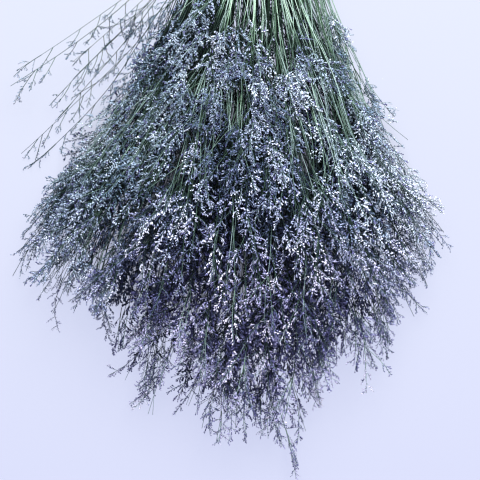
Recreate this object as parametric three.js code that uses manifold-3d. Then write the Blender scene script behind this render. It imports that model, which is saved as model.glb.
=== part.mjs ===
// A bunch of dried statice, the fine-flowered sea lavender, lying on its side as a florist lays it
// down: a few dozen thin cut stems held by a twine tie, fanning out into one broad flowering head.
//
// Millimetres, +Z up. The stems lie along Y, with the cut butts at +Y and the flower heads at -Y. The
// surface that the bunch lies on is z = 0, and the origin is below the middle of the bunch.
//
// Every stem grew as one piece, so every stem is one closed solid: a tapering main axis with its strong
// side branches joined on. All stems follow one fan, which is a map from the round section at the tie
// to the broad, flat-bottomed section of the head. Each stem keeps to its own cell of that section,
// so no stem crosses another.

import * as THREE from "three";
import { mergeVertices } from "three/addons/utils/BufferGeometryUtils.js";
import Module from "manifold-3d";

// Driving dimensions

const STEM_RINGS = 4; // rings of stems round the middle one at the tie
const STEM_PITCH = 2.82; // between the centres of neighbouring stems at the tie
const BUTT_DIAMETER = 2.6; // a stem at its cut end
const TIP_DIAMETER = 1.1; // a stem at the tip of its main axis
const BRANCH_DIAMETER = 1.5; // a side branch where it leaves the main axis
const BRANCH_TIP_DIAMETER = 0.8;
const BUTT_LENGTH = 75; // from the tie to the cut ends
const BUTT_SPLAY = 0.16; // how much wider the bundle is at the cut ends than at the tie
const LONGEST_REACH = 704; // from the tie to the tips of the longest main axes
const HEAD_HALF_WIDTH = 210; // of the fan of main axes at the widest station
const HEAD_HALF_HEIGHT = 124; // as it would be there if it grew as fast as it does at the tie
const WIDEST_STATION = 450; // from the tie
const LEVEL_OFF = 1.15; // how soon the head stops rising, in widest stations
const TIP_DROOP = 0.25; // how much of its height the head has lost at its lowest tips
const FAN_EASE = 60; // over how long the stems bend out of the tie into the fan
const FAN_DRIFT = -0.02; // sideways lean of the whole fan, for each millimetre of length
const SETTLE = 0.85; // how flat the underside of the head has settled, from 0, round, to 1, flat
const TWINE_DIAMETER = 2.2;
const TWINE_TURNS = 5;
const SEAT_GAP = 0.3; // between the twine and the outermost stems
const STRAIGHT_AT_TIE = 8; // each way from the tie, over which the stems run straight and parallel

// Stations along the bunch are distances from the tie: negative towards the butts, positive towards
// the flowers.

const BRANCHES_PER_STEM = 3;
const FIRST_BRANCH = 0.36; // where the first and last branches leave, as shares of the stem's reach
const LAST_BRANCH = 0.63;
const CELL_REACH = 0.1; // how far a branch leaves its main axis, as a share of the section
const STRAY_CELL = 0.15; // how much of that the branches of a stray stem use
const SHORTEST_BEHIND = 46; // how far behind the stem's tip the first and the last branches end
const LONGEST_BEHIND = 24;
const LENGTH_SCATTER = 40; // how unequal in length neighbouring stems are
const TOP_SHORTENING = 0.2; // how much shorter the stems on top are, as a share of their reach
const PLACE_SCATTER = 0.05; // how far a stem strays from its place in the section of the head
const BUTT_SCATTER = 9; // how unevenly the butts are cut

// Each side of the bunch stays closer in than the fan at first, and ends wider than the fan. close and
// wide say by how much, as shares of the section, and closes and opens between which stations. It grows
// with the distance out across the section, from none to all between the two places in out.

const LEFT_SIDE = { close: 0.1, closes: [8, 150], wide: 0.18, opens: [220, 470], out: [0.1, 0.8] };
const RIGHT_SIDE = { close: 0.13, closes: [60, 240], wide: 0.07, opens: [330, 490], out: [0.3, 1] };

// The outline of the head: a place across the section, and how far the stems there reach.

const OUTLINE = [
  { across: -1, reach: 504 },
  { across: -0.8, reach: 520 },
  { across: -0.6, reach: 558 },
  { across: -0.47, reach: 586 },
  { across: -0.38, reach: 602 },
  { across: -0.3, reach: 642 },
  { across: -0.2, reach: 690 },
  { across: 0, reach: 692 },
  { across: 0.12, reach: LONGEST_REACH },
  { across: 0.2, reach: LONGEST_REACH },
  { across: 0.28, reach: 650 },
  { across: 0.55, reach: 580 },
  { across: 0.7, reach: 538 },
  { across: 0.85, reach: 514 },
  { across: 1, reach: 505 },
];

// The first stem of some rows strays out of the fan: reach is its tip's distance from the tie, stray is
// how far out it goes, in half widths, and a greater bend makes it leave the fan later.

const STRAYS = [
  { row: 2, reach: 297, stray: -1.85, bend: 1.3 },
  { row: 1, reach: 287, stray: -1.42, bend: 1.8 },
  { row: 0, reach: 327, stray: -1.38, bend: 1.8 },
  { row: -1, reach: 380, stray: -1.36, bend: 4.3 },
];

const MAIN_SIDES = 4;
const MAIN_STEPS = 9;
const STEP_GROWTH = 1.5; // how much the steps of a main axis lengthen from the tie to its tip
const BRANCH_SIDES = 3;
const BRANCH_STEPS = 4;
const TIE_SIDES = 20;
const TWINE_BEAD_ANGLES = [-60, 0, 60]; // of the points on the outer face of each turn of twine
const GOLDEN_ANGLE = Math.PI * (3 - Math.sqrt(5));

const stemMaterial = new THREE.MeshStandardMaterial({ color: 0x7d967f, roughness: 0.85, metalness: 0 });
const twineMaterial = new THREE.MeshStandardMaterial({ color: 0xb39a6e, roughness: 0.9, metalness: 0 });

const wasm = await Module();
wasm.setup();

// An even scatter from -0.5 to 0.5: the fractional parts of the multiples of an irrational number.

const SCATTER_STEPS = [0.6180339887, 0.7548776662, 0.5698402910, 0.8191725134, 0.6710436067];

function scatter(index, kind) {
  const turns = (index + 1) * SCATTER_STEPS[kind];
  return turns - Math.floor(turns) - 0.5;
}

function smooth(from, to, value) {
  const t = Math.min(Math.max((value - from) / (to - from), 0), 1);
  return t * t * (3 - 2 * t);
}

// The section of the bunch. A place in it is (across, up), both from -1 to 1.

const bundleRadius = STEM_PITCH * Math.sqrt(STEM_RINGS ** 2 - STEM_RINGS + 1);
const tieInnerRadius = bundleRadius + BUTT_DIAMETER / 2 + SEAT_GAP;
const tieCentreHeight = tieInnerRadius + TWINE_DIAMETER;

function spreadTo(halfSize, station) {
  const pastTie = Math.max(0, station - STRAIGHT_AT_TIE);
  const toButts = Math.max(0, -station - STRAIGHT_AT_TIE);
  const grown = (pastTie * pastTie) / (pastTie + FAN_EASE);
  const widest = (WIDEST_STATION * WIDEST_STATION) / (WIDEST_STATION + FAN_EASE);
  const fanned = ((halfSize - bundleRadius) * grown) / widest;
  return bundleRadius * (1 + (BUTT_SPLAY * toButts) / BUTT_LENGTH) + fanned;
}

// The head rises towards its widest station, levels off there, and droops a little towards its tips.

function sectionHalfHeight(station) {
  const level = WIDEST_STATION * LEVEL_OFF;
  const risen = spreadTo(HEAD_HALF_HEIGHT, level * Math.tanh(station / level));
  return risen * (1 - TIP_DROOP * smooth(WIDEST_STATION, LONGEST_REACH, station));
}

function pointInFan(across, up, station) {
  const settled = SETTLE * smooth(STRAIGHT_AT_TIE, WIDEST_STATION, station);
  const roundHeight = Math.sqrt(Math.max(0, 1 - across * across));
  const underside = 1 - settled + settled * roundHeight;
  const sink = smooth(STRAIGHT_AT_TIE, WIDEST_STATION / 2, station);
  const lift = THREE.MathUtils.lerp(tieCentreHeight - bundleRadius, TIP_DIAMETER / 2, sink);
  const drift = FAN_DRIFT * Math.max(0, station - STRAIGHT_AT_TIE);
  const x = drift + across * spreadTo(HEAD_HALF_WIDTH, station);
  const above = sectionHalfHeight(station) * (up + underside);
  const z = station > 0 ? lift + Math.max(0, above) : lift + above;
  return new THREE.Vector3(x, -station, Math.max(z, BUTT_DIAMETER / 2));
}

// The places of the stems: a hexagonal packing without its six corners and without the stem at the
// middle of its lowest row, where the knot of the tie presses in.

function stemPlaces() {
  const places = [];
  for (let row = -STEM_RINGS; row <= STEM_RINGS; row += 1) {
    const inRow = 2 * STEM_RINGS + 1 - Math.abs(row);
    for (let column = 0; column < inRow; column += 1) {
      const x = (column - (inRow - 1) / 2) * STEM_PITCH;
      const y = row * STEM_PITCH * Math.sin(Math.PI / 3);
      const outside = Math.hypot(x, y) > bundleRadius * 1.001;
      const underKnot = row === -STEM_RINGS && x === 0;
      if (!outside && !underKnot) {
        const first = places.every((one) => one.row !== row);
        places.push({ row, first, across: x / bundleRadius, up: y / bundleRadius });
      }
    }
  }
  return places;
}

// One stem: where its main axis and its branches run.

const outlinePlaces = OUTLINE.map((point) => point.across);
const outlineReaches = OUTLINE.map((point) => point.reach);
const outline = new THREE.LinearInterpolant(outlinePlaces, outlineReaches, 1);

function planStem(place, index) {
  const topShare = ((place.up + 1) / 2) ** 2;
  const shortfall = LENGTH_SCATTER * (0.5 - scatter(index, 0));
  const scattered = outline.evaluate(place.across)[0] * (1 - TOP_SHORTENING * topShare) - shortfall;
  const stray = STRAYS.find((one) => place.first && one.row === place.row);
  return {
    place,
    stray,
    reach: stray ? stray.reach : scattered,
    butt: -BUTT_LENGTH - BUTT_SCATTER * scatter(index, 1),
    driftAcross: PLACE_SCATTER * 2 * scatter(index, 2),
    driftUp: PLACE_SCATTER * 2 * scatter(index, 3),
    turn: Math.PI * 2 * scatter(index, 4),
  };
}

// How far out of the fan a side of the bunch is, for a place that far out across the section.

function sideShift(side, out, station) {
  const closed = side.close * smooth(...side.closes, station);
  const opened = (side.close + side.wide) * smooth(...side.opens, station);
  return (opened - closed) * smooth(...side.out, out);
}

function pointOnStem(stem, station, offAcross = 0, offUp = 0) {
  const grown = smooth(STRAIGHT_AT_TIE, WIDEST_STATION / 2, station);
  const fanned = stem.place.across + stem.driftAcross * grown + offAcross;
  const left = sideShift(LEFT_SIDE, -fanned, station);
  let across = fanned + sideShift(RIGHT_SIDE, fanned, station) - left;
  if (stem.stray) {
    const out = (Math.max(station - STRAIGHT_AT_TIE, 0) / stem.reach) ** stem.stray.bend;
    across = stem.place.across + (stem.stray.stray - stem.place.across) * out + offAcross;
  }
  const up = stem.place.up + stem.driftUp * grown;
  return pointInFan(across, up + offUp, station);
}

// A round tapering rod along a path. The path is a function of t from 0 to 1.

function bentRod(path, startRadius, endRadius, sides, steps) {
  const near = 0.01; // each way along the path, for its direction
  const rod = new THREE.CylinderGeometry(startRadius, endRadius, 1, sides, steps);
  const position = rod.attributes.position;
  const point = new THREE.Vector3();
  for (let i = 0; i < position.count; i += 1) {
    point.fromBufferAttribute(position, i);
    const t = 0.5 - point.y;
    const along = path(Math.min(t + near, 1)).sub(path(Math.max(t - near, 0))).normalize();
    const side = new THREE.Vector3(0, 0, 1).cross(along).normalize();
    const over = along.clone().cross(side);
    const centre = path(t);
    centre.addScaledVector(side, point.x).addScaledVector(over, point.z);
    position.setXYZ(i, centre.x, centre.y, centre.z);
  }
  return rod;
}

function toManifold(geometry) {
  geometry.deleteAttribute("normal");
  geometry.deleteAttribute("uv");
  const closed = mergeVertices(geometry, 1e-5);
  const vertProperties = new Float32Array(closed.attributes.position.array);
  const triVerts = new Uint32Array(closed.index.array);
  return new wasm.Manifold(new wasm.Mesh({ numProp: 3, vertProperties, triVerts }));
}

function fromManifold(solid) {
  const mesh = solid.getMesh();
  const geometry = new THREE.BufferGeometry();
  geometry.setAttribute("position", new THREE.BufferAttribute(mesh.vertProperties, 3));
  geometry.setIndex(new THREE.BufferAttribute(mesh.triVerts, 1));
  geometry.computeVertexNormals();
  return geometry;
}

// The stations of the main axis's steps: the first step reaches from the butt to the tie, and the
// rest grow longer from there. Between two stations the axis runs straight.

function axisStation(stem, step) {
  if (step < 1) {
    return THREE.MathUtils.lerp(stem.butt, -STRAIGHT_AT_TIE, step);
  }
  const beyond = ((step - 1) / (MAIN_STEPS - 1)) ** STEP_GROWTH;
  return THREE.MathUtils.lerp(-STRAIGHT_AT_TIE, stem.reach, beyond);
}

function stepAtStation(stem, station) {
  if (station < -STRAIGHT_AT_TIE) {
    return (station - stem.butt) / (-STRAIGHT_AT_TIE - stem.butt);
  }
  const beyond = (station + STRAIGHT_AT_TIE) / (stem.reach + STRAIGHT_AT_TIE);
  return 1 + (MAIN_STEPS - 1) * beyond ** (1 / STEP_GROWTH);
}

function pointOnAxis(stem, station) {
  const step = Math.min(Math.floor(stepAtStation(stem, station) + 1e-6), MAIN_STEPS - 1);
  const from = axisStation(stem, step);
  const to = axisStation(stem, step + 1);
  const start = pointOnStem(stem, from);
  return start.lerp(pointOnStem(stem, to), (station - from) / (to - from));
}

function mainAxis(stem) {
  const path = (t) => pointOnAxis(stem, axisStation(stem, t * MAIN_STEPS));
  return bentRod(path, BUTT_DIAMETER / 2, TIP_DIAMETER / 2, MAIN_SIDES, MAIN_STEPS);
}

// A branch leaves the main axis at an acute angle, eases away from it and then runs along beside it.

function sideBranch(stem, number) {
  const share = number / (BRANCHES_PER_STEM - 1);
  const start = stem.reach * THREE.MathUtils.lerp(FIRST_BRANCH, LAST_BRANCH, share);
  const end = stem.reach - THREE.MathUtils.lerp(SHORTEST_BEHIND, LONGEST_BEHIND, share);
  const angle = stem.turn + number * GOLDEN_ANGLE;
  const cell = CELL_REACH * (stem.stray ? STRAY_CELL : 1);
  const path = (t) => {
    const away = cell * Math.sin((Math.PI / 2) * t);
    const station = THREE.MathUtils.lerp(start, end, t);
    const beside = pointOnStem(stem, station, away * Math.cos(angle), away * Math.sin(angle));
    return pointOnAxis(stem, station).add(beside).sub(pointOnStem(stem, station));
  };
  return bentRod(path, BRANCH_DIAMETER / 2, BRANCH_TIP_DIAMETER / 2, BRANCH_SIDES, BRANCH_STEPS);
}

function buildStem(stem) {
  let solid = toManifold(mainAxis(stem));
  for (let number = 0; number < BRANCHES_PER_STEM; number += 1) {
    solid = solid.add(toManifold(sideBranch(stem, number)));
  }
  return fromManifold(solid);
}

// The tie: twine wound side by side in one layer. Each turn is a bead of the ring's outer face.

function buildTie() {
  const halfLength = (TWINE_TURNS * TWINE_DIAMETER) / 2;
  const profile = [new THREE.Vector2(tieInnerRadius, -halfLength)];
  for (let turn = 0; turn < TWINE_TURNS; turn += 1) {
    const middle = (turn + 0.5) * TWINE_DIAMETER - halfLength;
    for (const angle of TWINE_BEAD_ANGLES) {
      const radians = THREE.MathUtils.degToRad(angle);
      const out = (TWINE_DIAMETER / 2) * (1 + Math.cos(radians));
      const along = (TWINE_DIAMETER / 2) * Math.sin(radians);
      profile.push(new THREE.Vector2(tieInnerRadius + out, middle + along));
    }
  }
  profile.push(new THREE.Vector2(tieInnerRadius, halfLength));
  profile.push(profile[0].clone());
  return new THREE.LatheGeometry(profile, TIE_SIDES);
}

const group = new THREE.Group();

stemPlaces().forEach((place, index) => {
  const stem = new THREE.Mesh(buildStem(planStem(place, index)), stemMaterial);
  stem.name = `statice_stem_${String(index + 1).padStart(2, "0")}`;
  group.add(stem);
});

const tie = new THREE.Mesh(buildTie(), twineMaterial);
tie.name = "twine_tie";
tie.position.set(0, 0, tieCentreHeight);
group.add(tie);

// The origin goes below the middle of the bunch's box.

const box = new THREE.Box3().setFromObject(group, true);
const middle = box.getCenter(new THREE.Vector3());
for (const piece of group.children) {
  piece.position.x -= middle.x;
  piece.position.y -= middle.y;
  piece.position.z -= box.min.z;
}

export default group;
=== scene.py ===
# A bunch of dried statice, the fine-flowered sea lavender, lying on its side: thin grey-green stems held
# by a twine tie, fanning out into one broad misty head of small papery spikelets.
#
# Sizes and places are in millimetres, measured from the tie, until a mesh is made. A station is a
# distance from the tie along the bunch: negative towards the cut butts, positive towards the flowers.

import math

import bpy
import numpy as np
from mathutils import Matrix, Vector


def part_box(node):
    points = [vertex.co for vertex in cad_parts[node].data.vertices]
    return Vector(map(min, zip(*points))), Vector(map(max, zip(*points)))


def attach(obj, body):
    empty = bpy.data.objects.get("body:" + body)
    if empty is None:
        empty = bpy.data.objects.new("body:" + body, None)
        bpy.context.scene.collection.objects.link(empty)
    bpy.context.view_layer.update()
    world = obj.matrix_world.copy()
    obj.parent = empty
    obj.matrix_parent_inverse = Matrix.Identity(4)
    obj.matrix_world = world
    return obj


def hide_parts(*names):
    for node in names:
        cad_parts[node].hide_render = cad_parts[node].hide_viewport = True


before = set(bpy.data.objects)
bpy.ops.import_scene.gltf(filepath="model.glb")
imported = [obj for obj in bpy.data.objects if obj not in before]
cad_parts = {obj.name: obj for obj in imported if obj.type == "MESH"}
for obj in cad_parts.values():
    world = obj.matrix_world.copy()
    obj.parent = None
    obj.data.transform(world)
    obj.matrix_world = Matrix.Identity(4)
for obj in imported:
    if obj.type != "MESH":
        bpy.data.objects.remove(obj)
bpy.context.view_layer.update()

MM = 0.001
tie_low, tie_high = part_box("twine_tie")
tie_middle = np.array((tie_low + tie_high) / 2) / MM
FROM_TIE = np.array((tie_middle[0], tie_middle[1], 0.0))


# The camera looks straight down on the head. The butts and the tie lie beyond the picture's upper edge.

VIEW_ACROSS = 480.0  # what the picture holds, across and down, at the level of the head's upper half
VIEW_LEVEL = 120.0
CAMERA_HEIGHT = 2400.0
LOOK_AT = np.array((-14.0, -455.0, 0.0))
SENSOR = 36.0

camera_data = bpy.data.cameras.new("camera")
camera_data.sensor_width = SENSOR
camera_data.lens = SENSOR * (CAMERA_HEIGHT - VIEW_LEVEL) / VIEW_ACROSS
camera_data.clip_start = 0.05
camera = bpy.data.objects.new("camera", camera_data)
camera.location = Vector((FROM_TIE + LOOK_AT + (0.0, 0.0, CAMERA_HEIGHT)) * MM)
bpy.context.collection.objects.link(camera)
bpy.context.scene.camera = camera


# The stems' fan. Each stem is one plant shoot, cut near the ground and dried hanging. The stems lie
# hexagonally packed in the tie, and fan out from there into the broad, flat-bottomed head. The map
# from the section at the tie to the section of the head keeps every stem beside its neighbours.

STEM_RINGS = 4
STEM_PITCH = 2.82
BUTT_DIAMETER = 2.6
TIP_DIAMETER = 1.1
BUTT_LENGTH = 75.0
BUTT_SPLAY = 0.16
LONGEST_REACH = 704.0
HEAD_HALF_WIDTH = 210.0
HEAD_HALF_HEIGHT = 124.0
WIDEST_STATION = 450.0
LEVEL_OFF = 1.15
TIP_DROOP = 0.25
FAN_EASE = 60.0
FAN_DRIFT = -0.02
SETTLE = 0.85
STRAIGHT_AT_TIE = 8.0
CELL_REACH = 0.1
RIM_SLACK = 1.001  # keeps the outermost stems in the bundle when the numbers round
OUTLINE = (  # a place across the section, and how far the stems there reach
    (-1.0, 504.0),
    (-0.8, 520.0),
    (-0.6, 558.0),
    (-0.47, 586.0),
    (-0.38, 602.0),
    (-0.3, 642.0),
    (-0.2, 690.0),
    (0.0, 692.0),
    (0.12, LONGEST_REACH),
    (0.2, LONGEST_REACH),
    (0.28, 650.0),
    (0.55, 580.0),
    (0.7, 538.0),
    (0.85, 514.0),
    (1.0, 505.0),
)
# A side of the bunch first lies closer in than the fan and opens wider at the end: how much closer and
# between which stations that grows, how much wider and between which stations, and from where to where
# across the section both grow to their full share.
LEFT_SIDE = (0.1, (8, 150), 0.18, (220, 470), (0.1, 0.8))
RIGHT_SIDE = (0.13, (60, 240), 0.07, (330, 490), (0.3, 1.0))
LENGTH_SCATTER = 40.0
TOP_SHORTENING = 0.2
PLACE_SCATTER = 0.05
BUTT_SCATTER = 9.0
SCATTER_STEPS = (0.6180339887, 0.7548776662, 0.5698402910, 0.8191725134, 0.6710436067)
GOLDEN_ANGLE = math.pi * (3 - math.sqrt(5))
STRAYS = {  # the first stems of some rows stray out of the fan: reach, how far out, and how late
    2: (297.0, -1.85, 1.3),
    1: (287.0, -1.42, 1.8),
    0: (327.0, -1.38, 1.8),
    -1: (380.0, -1.36, 4.3),
}

bundle_radius = STEM_PITCH * math.sqrt(STEM_RINGS**2 - STEM_RINGS + 1)


def smooth(start, end, value):
    t = np.clip((value - start) / (end - start), 0, 1)
    return t * t * (3 - 2 * t)


def unit(vectors):
    return vectors / np.linalg.norm(vectors, axis=-1, keepdims=True)


def spread_to(half_size, station):
    past_tie = np.maximum(0, station - STRAIGHT_AT_TIE)
    to_butts = np.maximum(0, -station - STRAIGHT_AT_TIE)
    grown = past_tie**2 / (past_tie + FAN_EASE)
    widest = WIDEST_STATION**2 / (WIDEST_STATION + FAN_EASE)
    at_butts = bundle_radius * (1 + BUTT_SPLAY * to_butts / BUTT_LENGTH)
    return at_butts + (half_size - bundle_radius) * grown / widest


def section_half_height(station):
    level = WIDEST_STATION * LEVEL_OFF
    risen = spread_to(HEAD_HALF_HEIGHT, level * np.tanh(station / level))
    return risen * (1 - TIP_DROOP * smooth(WIDEST_STATION, LONGEST_REACH, station))


def fan_point(across, up, station):
    settled = SETTLE * smooth(STRAIGHT_AT_TIE, WIDEST_STATION, station)
    underside = 1 - settled + settled * np.sqrt(np.maximum(0, 1 - across**2))
    sink = smooth(STRAIGHT_AT_TIE, WIDEST_STATION / 2, station)
    lift = (tie_middle[2] - bundle_radius) * (1 - sink) + TIP_DIAMETER / 2 * sink
    above = section_half_height(station) * (up + underside)
    z = lift + np.where(station > 0, np.maximum(0, above), above)
    x = FAN_DRIFT * np.maximum(0, station - STRAIGHT_AT_TIE) + across * spread_to(HEAD_HALF_WIDTH, station)
    return np.stack((x, -station, np.maximum(z, BUTT_DIAMETER / 2)), axis=-1)


def scatter(index, kind):
    return ((index + 1) * SCATTER_STEPS[kind]) % 1.0 - 0.5


def plan_stems():
    """One row for each stem: its place in the section, its reach, its butt, its drift and its turn."""
    rows = []
    for row in range(-STEM_RINGS, STEM_RINGS + 1):
        in_row = 2 * STEM_RINGS + 1 - abs(row)
        first = True
        for column in range(in_row):
            x = (column - (in_row - 1) / 2) * STEM_PITCH
            y = row * STEM_PITCH * math.sin(math.pi / 3)
            if math.hypot(x, y) > bundle_radius * RIM_SLACK or (row == -STEM_RINGS and x == 0):
                continue
            index = len(rows)
            across, up = x / bundle_radius, y / bundle_radius
            reach = np.interp(across, *zip(*OUTLINE)) * (1 - TOP_SHORTENING * ((up + 1) / 2) ** 2)
            reach -= LENGTH_SCATTER * (0.5 - scatter(index, 0))
            stray = STRAYS.get(row) if first else None
            first = False
            rows.append(
                {
                    "across": across,
                    "up": up,
                    "reach": stray[0] if stray else reach,
                    "butt": -BUTT_LENGTH - BUTT_SCATTER * scatter(index, 1),
                    "drift_across": PLACE_SCATTER * 2 * scatter(index, 2),
                    "drift_up": PLACE_SCATTER * 2 * scatter(index, 3),
                    "turn": math.pi * 2 * scatter(index, 4),
                    "stray": stray[1] if stray else np.nan,
                    "bend": stray[2] if stray else 1.0,
                }
            )
    return {key: np.array([row[key] for row in rows]) for key in rows[0]}


stems = plan_stems()
stem_count = len(stems["reach"])
strays = ~np.isnan(stems["stray"])


def side_shift(side, out, station):
    """How far out of the fan a side of the bunch is: closer in at first, and wider at the end."""
    close, closes, wide, opens, between = side
    shift = (close + wide) * smooth(*opens, station) - close * smooth(*closes, station)
    return shift * smooth(*between, out)


def stem_point(who, station, off_across=0.0, off_up=0.0):
    """Points of stems by number, or of branches that keep beside them."""
    grown = smooth(STRAIGHT_AT_TIE, WIDEST_STATION / 2, station)
    at_tie = stems["across"][who]
    fanned = at_tie + stems["drift_across"][who] * grown + off_across
    across = fanned + side_shift(RIGHT_SIDE, fanned, station) - side_shift(LEFT_SIDE, -fanned, station)
    past_tie = np.maximum(station - STRAIGHT_AT_TIE, 0) / stems["reach"][who]
    strayed = at_tie + (stems["stray"][who] - at_tie) * past_tie ** stems["bend"][who]
    across = np.where(strays[who], strayed + off_across, across)
    up = stems["up"][who] + stems["drift_up"][who] * grown
    return fan_point(across, up + off_up, station)


# The stems' wood: a tapering main axis from the cut butt to the tip, with long branches that leave it
# at an acute angle. Strong ones run along beside it, and thin ones wander off between its neighbours.
# Round, faintly ridged, grey green where it is thick and paler where it is thin. The butts show a
# clean cut with a pale pith.

MAIN_SIDES = 6
MAIN_STEPS = 34
BRANCH_SIDES = 4
BRANCH_STEPS = 12
MAIN_RADII = (BUTT_DIAMETER / 2, 0.22)
MAIN_TAPER = 1.35
LONG_BRANCHES = (  # where it leaves, how far behind the tip it ends, how far out across and up, how thick
    (0.36, 46.0, 1.0, 1.0, 0.56),
    (0.495, 35.0, 1.0, 1.0, 0.52),
    (0.63, 24.0, 1.0, 1.0, 0.48),
    (0.3, 90.0, 3.2, 1.2, 0.5),
    (0.38, 60.0, 4.2, 1.2, 0.46),
    (0.24, 150.0, 2.4, 1.6, 0.5),
    (0.34, 110.0, 3.6, 1.0, 0.45),
    (0.44, 70.0, 2.6, 1.4, 0.45),
)
RIDERS = (  # branches that end on top of the head: leaves, behind, out across, thick, flowers so much later
    (0.2, 190.0, 1.4, 0.72, 45.0),
    (0.26, 130.0, -1.8, 0.66, 45.0),
    (0.33, 80.0, 0.7, 0.6, 45.0),
)
RIDERS_FROM = 0.1  # stems higher up in the section than this have riders
LEFT_RIDERS = (
    (0.2, 110.0, -0.5, 0.6, 200.0),
    (0.26, 70.0, -2.2, 0.55, 200.0),
    (0.23, 85.0, -3.6, 0.55, 200.0),
)
LEFT_RIDERS_FROM = -0.15  # and stems further to the left than this have these too
ON_TOP = 0.97  # how far up in the section riders end
STRAY_FORKS = (  # where it leaves, how far behind the tip it ends, how far out across, how thick
    (0.45, 58.0, 0.26, 0.5),
    (0.6, 16.0, -0.17, 0.45),
)
BRANCH_TIP_RADIUS = 0.17
INSIDE = 0.93  # how far out in the section a wandering branch may go
STRAY_THINNESS = 0.6
WAVES = (  # length, height, and from where to where it grows
    (62.0, 6.5, 30.0, 230.0),
    (21.0, 1.7, 70.0, 300.0),
    (36.0, 7.0, 360.0, 600.0),
)
WAVE_UP = 0.6  # how high a wave is up and down, for one from side to side
WAVE_UP_TURNS = 1.3
AXIS_CLEARANCE = 1.0  # above the surface that the bunch lies on

rng = np.random.default_rng(41)


def plan_axes():
    """The main axes and the long branches: who they belong to, from where to where, and how far out."""
    rows = []
    for who in range(stem_count):
        rows.append((who, stems["butt"][who], stems["reach"][who], 0.0, 0.0, MAIN_RADII[0], 0.0))
    for number, (leaves, behind, out_across, out_up, thick) in enumerate(LONG_BRANCHES):
        for who in np.flatnonzero(~strays):
            reach = stems["reach"][who]
            angle = stems["turn"][who] + number * GOLDEN_ANGLE
            off_across = CELL_REACH * out_across * math.cos(angle)
            off_up = CELL_REACH * out_up * math.sin(angle)
            if out_across > 1:
                here = stems["across"][who]
                off_across = np.clip(here + off_across, -INSIDE, INSIDE) - here
                room = math.sqrt(1 - (here + off_across) ** 2)
                off_up = np.clip(stems["up"][who] + off_up, -room, room) - stems["up"][who]
                reach = min(reach, np.interp(here + off_across, *zip(*OUTLINE)))
            rows.append((who, stems["reach"][who] * leaves, reach - behind, off_across, off_up, thick, 0.0))
    first_rider = len(rows)
    for who in np.flatnonzero(~strays):
        here, up = stems["across"][who], stems["up"][who]
        riders = (RIDERS if up > RIDERS_FROM else ()) + (LEFT_RIDERS if here < LEFT_RIDERS_FROM else ())
        for leaves, behind, out_across, thick, later in riders:
            off_across = np.clip(here + CELL_REACH * out_across, -INSIDE, INSIDE) - here
            reach = min(stems["reach"][who], np.interp(here + off_across, *zip(*OUTLINE)))
            off_up = ON_TOP * math.sqrt(1 - (here + off_across) ** 2) - up
            rows.append((who, reach * leaves, reach - behind, off_across, off_up, thick, later))
    first_fork = len(rows)
    for who in np.flatnonzero(strays):
        for leaves, behind, out_across, thick in STRAY_FORKS:
            reach = stems["reach"][who]
            rows.append((who, reach * leaves, reach - behind, out_across, 0.0, thick, 0.0))
    columns = ("who", "start", "end", "off_across", "off_up", "thick", "later")
    plan = dict(zip(columns, np.array(rows).T))
    plan["who"] = plan["who"].astype(int)
    place = np.arange(len(rows))
    plan["main"] = place < stem_count
    plan["rider"] = (place >= first_rider) & (place < first_fork)
    return plan


axes = plan_axes()
wave_phases = rng.uniform(0, 2 * math.pi, (len(WAVES), 2, len(axes["who"])))
wave_phases[0] = wave_phases[0][:, axes["who"]]


def axis_point(number, station):
    """Points of axes by number. number and station are arrays of one shape."""
    t = np.clip((station - axes["start"][number]) / (axes["end"][number] - axes["start"][number]), 0, 1)
    away = np.where(axes["main"][number], 0.0, np.sin(math.pi / 2 * t))
    who = axes["who"][number]
    point = stem_point(who, station, axes["off_across"][number] * away, axes["off_up"][number] * away)
    for (length, height, grows_from, grows_to), (phase, other) in zip(WAVES, wave_phases):
        sway = height * smooth(grows_from, grows_to, station)
        point[..., 0] += sway * np.sin(station / length + phase[number])
        point[..., 2] += WAVE_UP * sway * np.sin(station / length * WAVE_UP_TURNS + other[number])
    point[..., 2] = np.maximum(point[..., 2], AXIS_CLEARANCE)
    return point


def tubes(paths, radii, sides, start_caps=True, across=(0.0, 0.0, 1.0)):
    """Closed round rods along many paths at once: vertices, faces, and for each vertex its path and step."""
    count, steps = paths.shape[:2]
    forward = unit(np.gradient(paths, axis=1))
    side = unit(np.cross(across, forward))
    over = np.cross(forward, side)
    angle = 2 * math.pi * np.arange(sides) / sides
    ring = np.cos(angle)[:, None] * side[:, :, None] + np.sin(angle)[:, None] * over[:, :, None]
    vertices = paths[:, :, None] + radii[:, :, None, None] * ring
    first = (np.arange(count)[:, None, None] * steps + np.arange(steps - 1)[:, None]) * sides
    here = np.arange(sides)
    there = (here + 1) % sides
    walls = np.stack((first + here, first + there, first + sides + there, first + sides + here), axis=-1)
    starts = np.arange(count)[:, None] * steps * sides + here[::-1]
    ends = starts[:, ::-1] + (steps - 1) * sides
    faces = [walls.reshape(-1, 4), ends] + ([starts] if start_caps else [])
    path_number = np.repeat(np.arange(count), steps * sides)
    step_number = np.tile(np.repeat(np.arange(steps), sides), count)
    return vertices.reshape(-1, 3), faces, path_number, step_number


def axis_paths(numbers, spacing):
    """Paths along axes by number, with a point at each share of their length."""
    stations = axes["start"][numbers, None] + (axes["end"] - axes["start"])[numbers, None] * spacing
    return axis_point(np.broadcast_to(numbers[:, None], stations.shape), stations)


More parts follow.
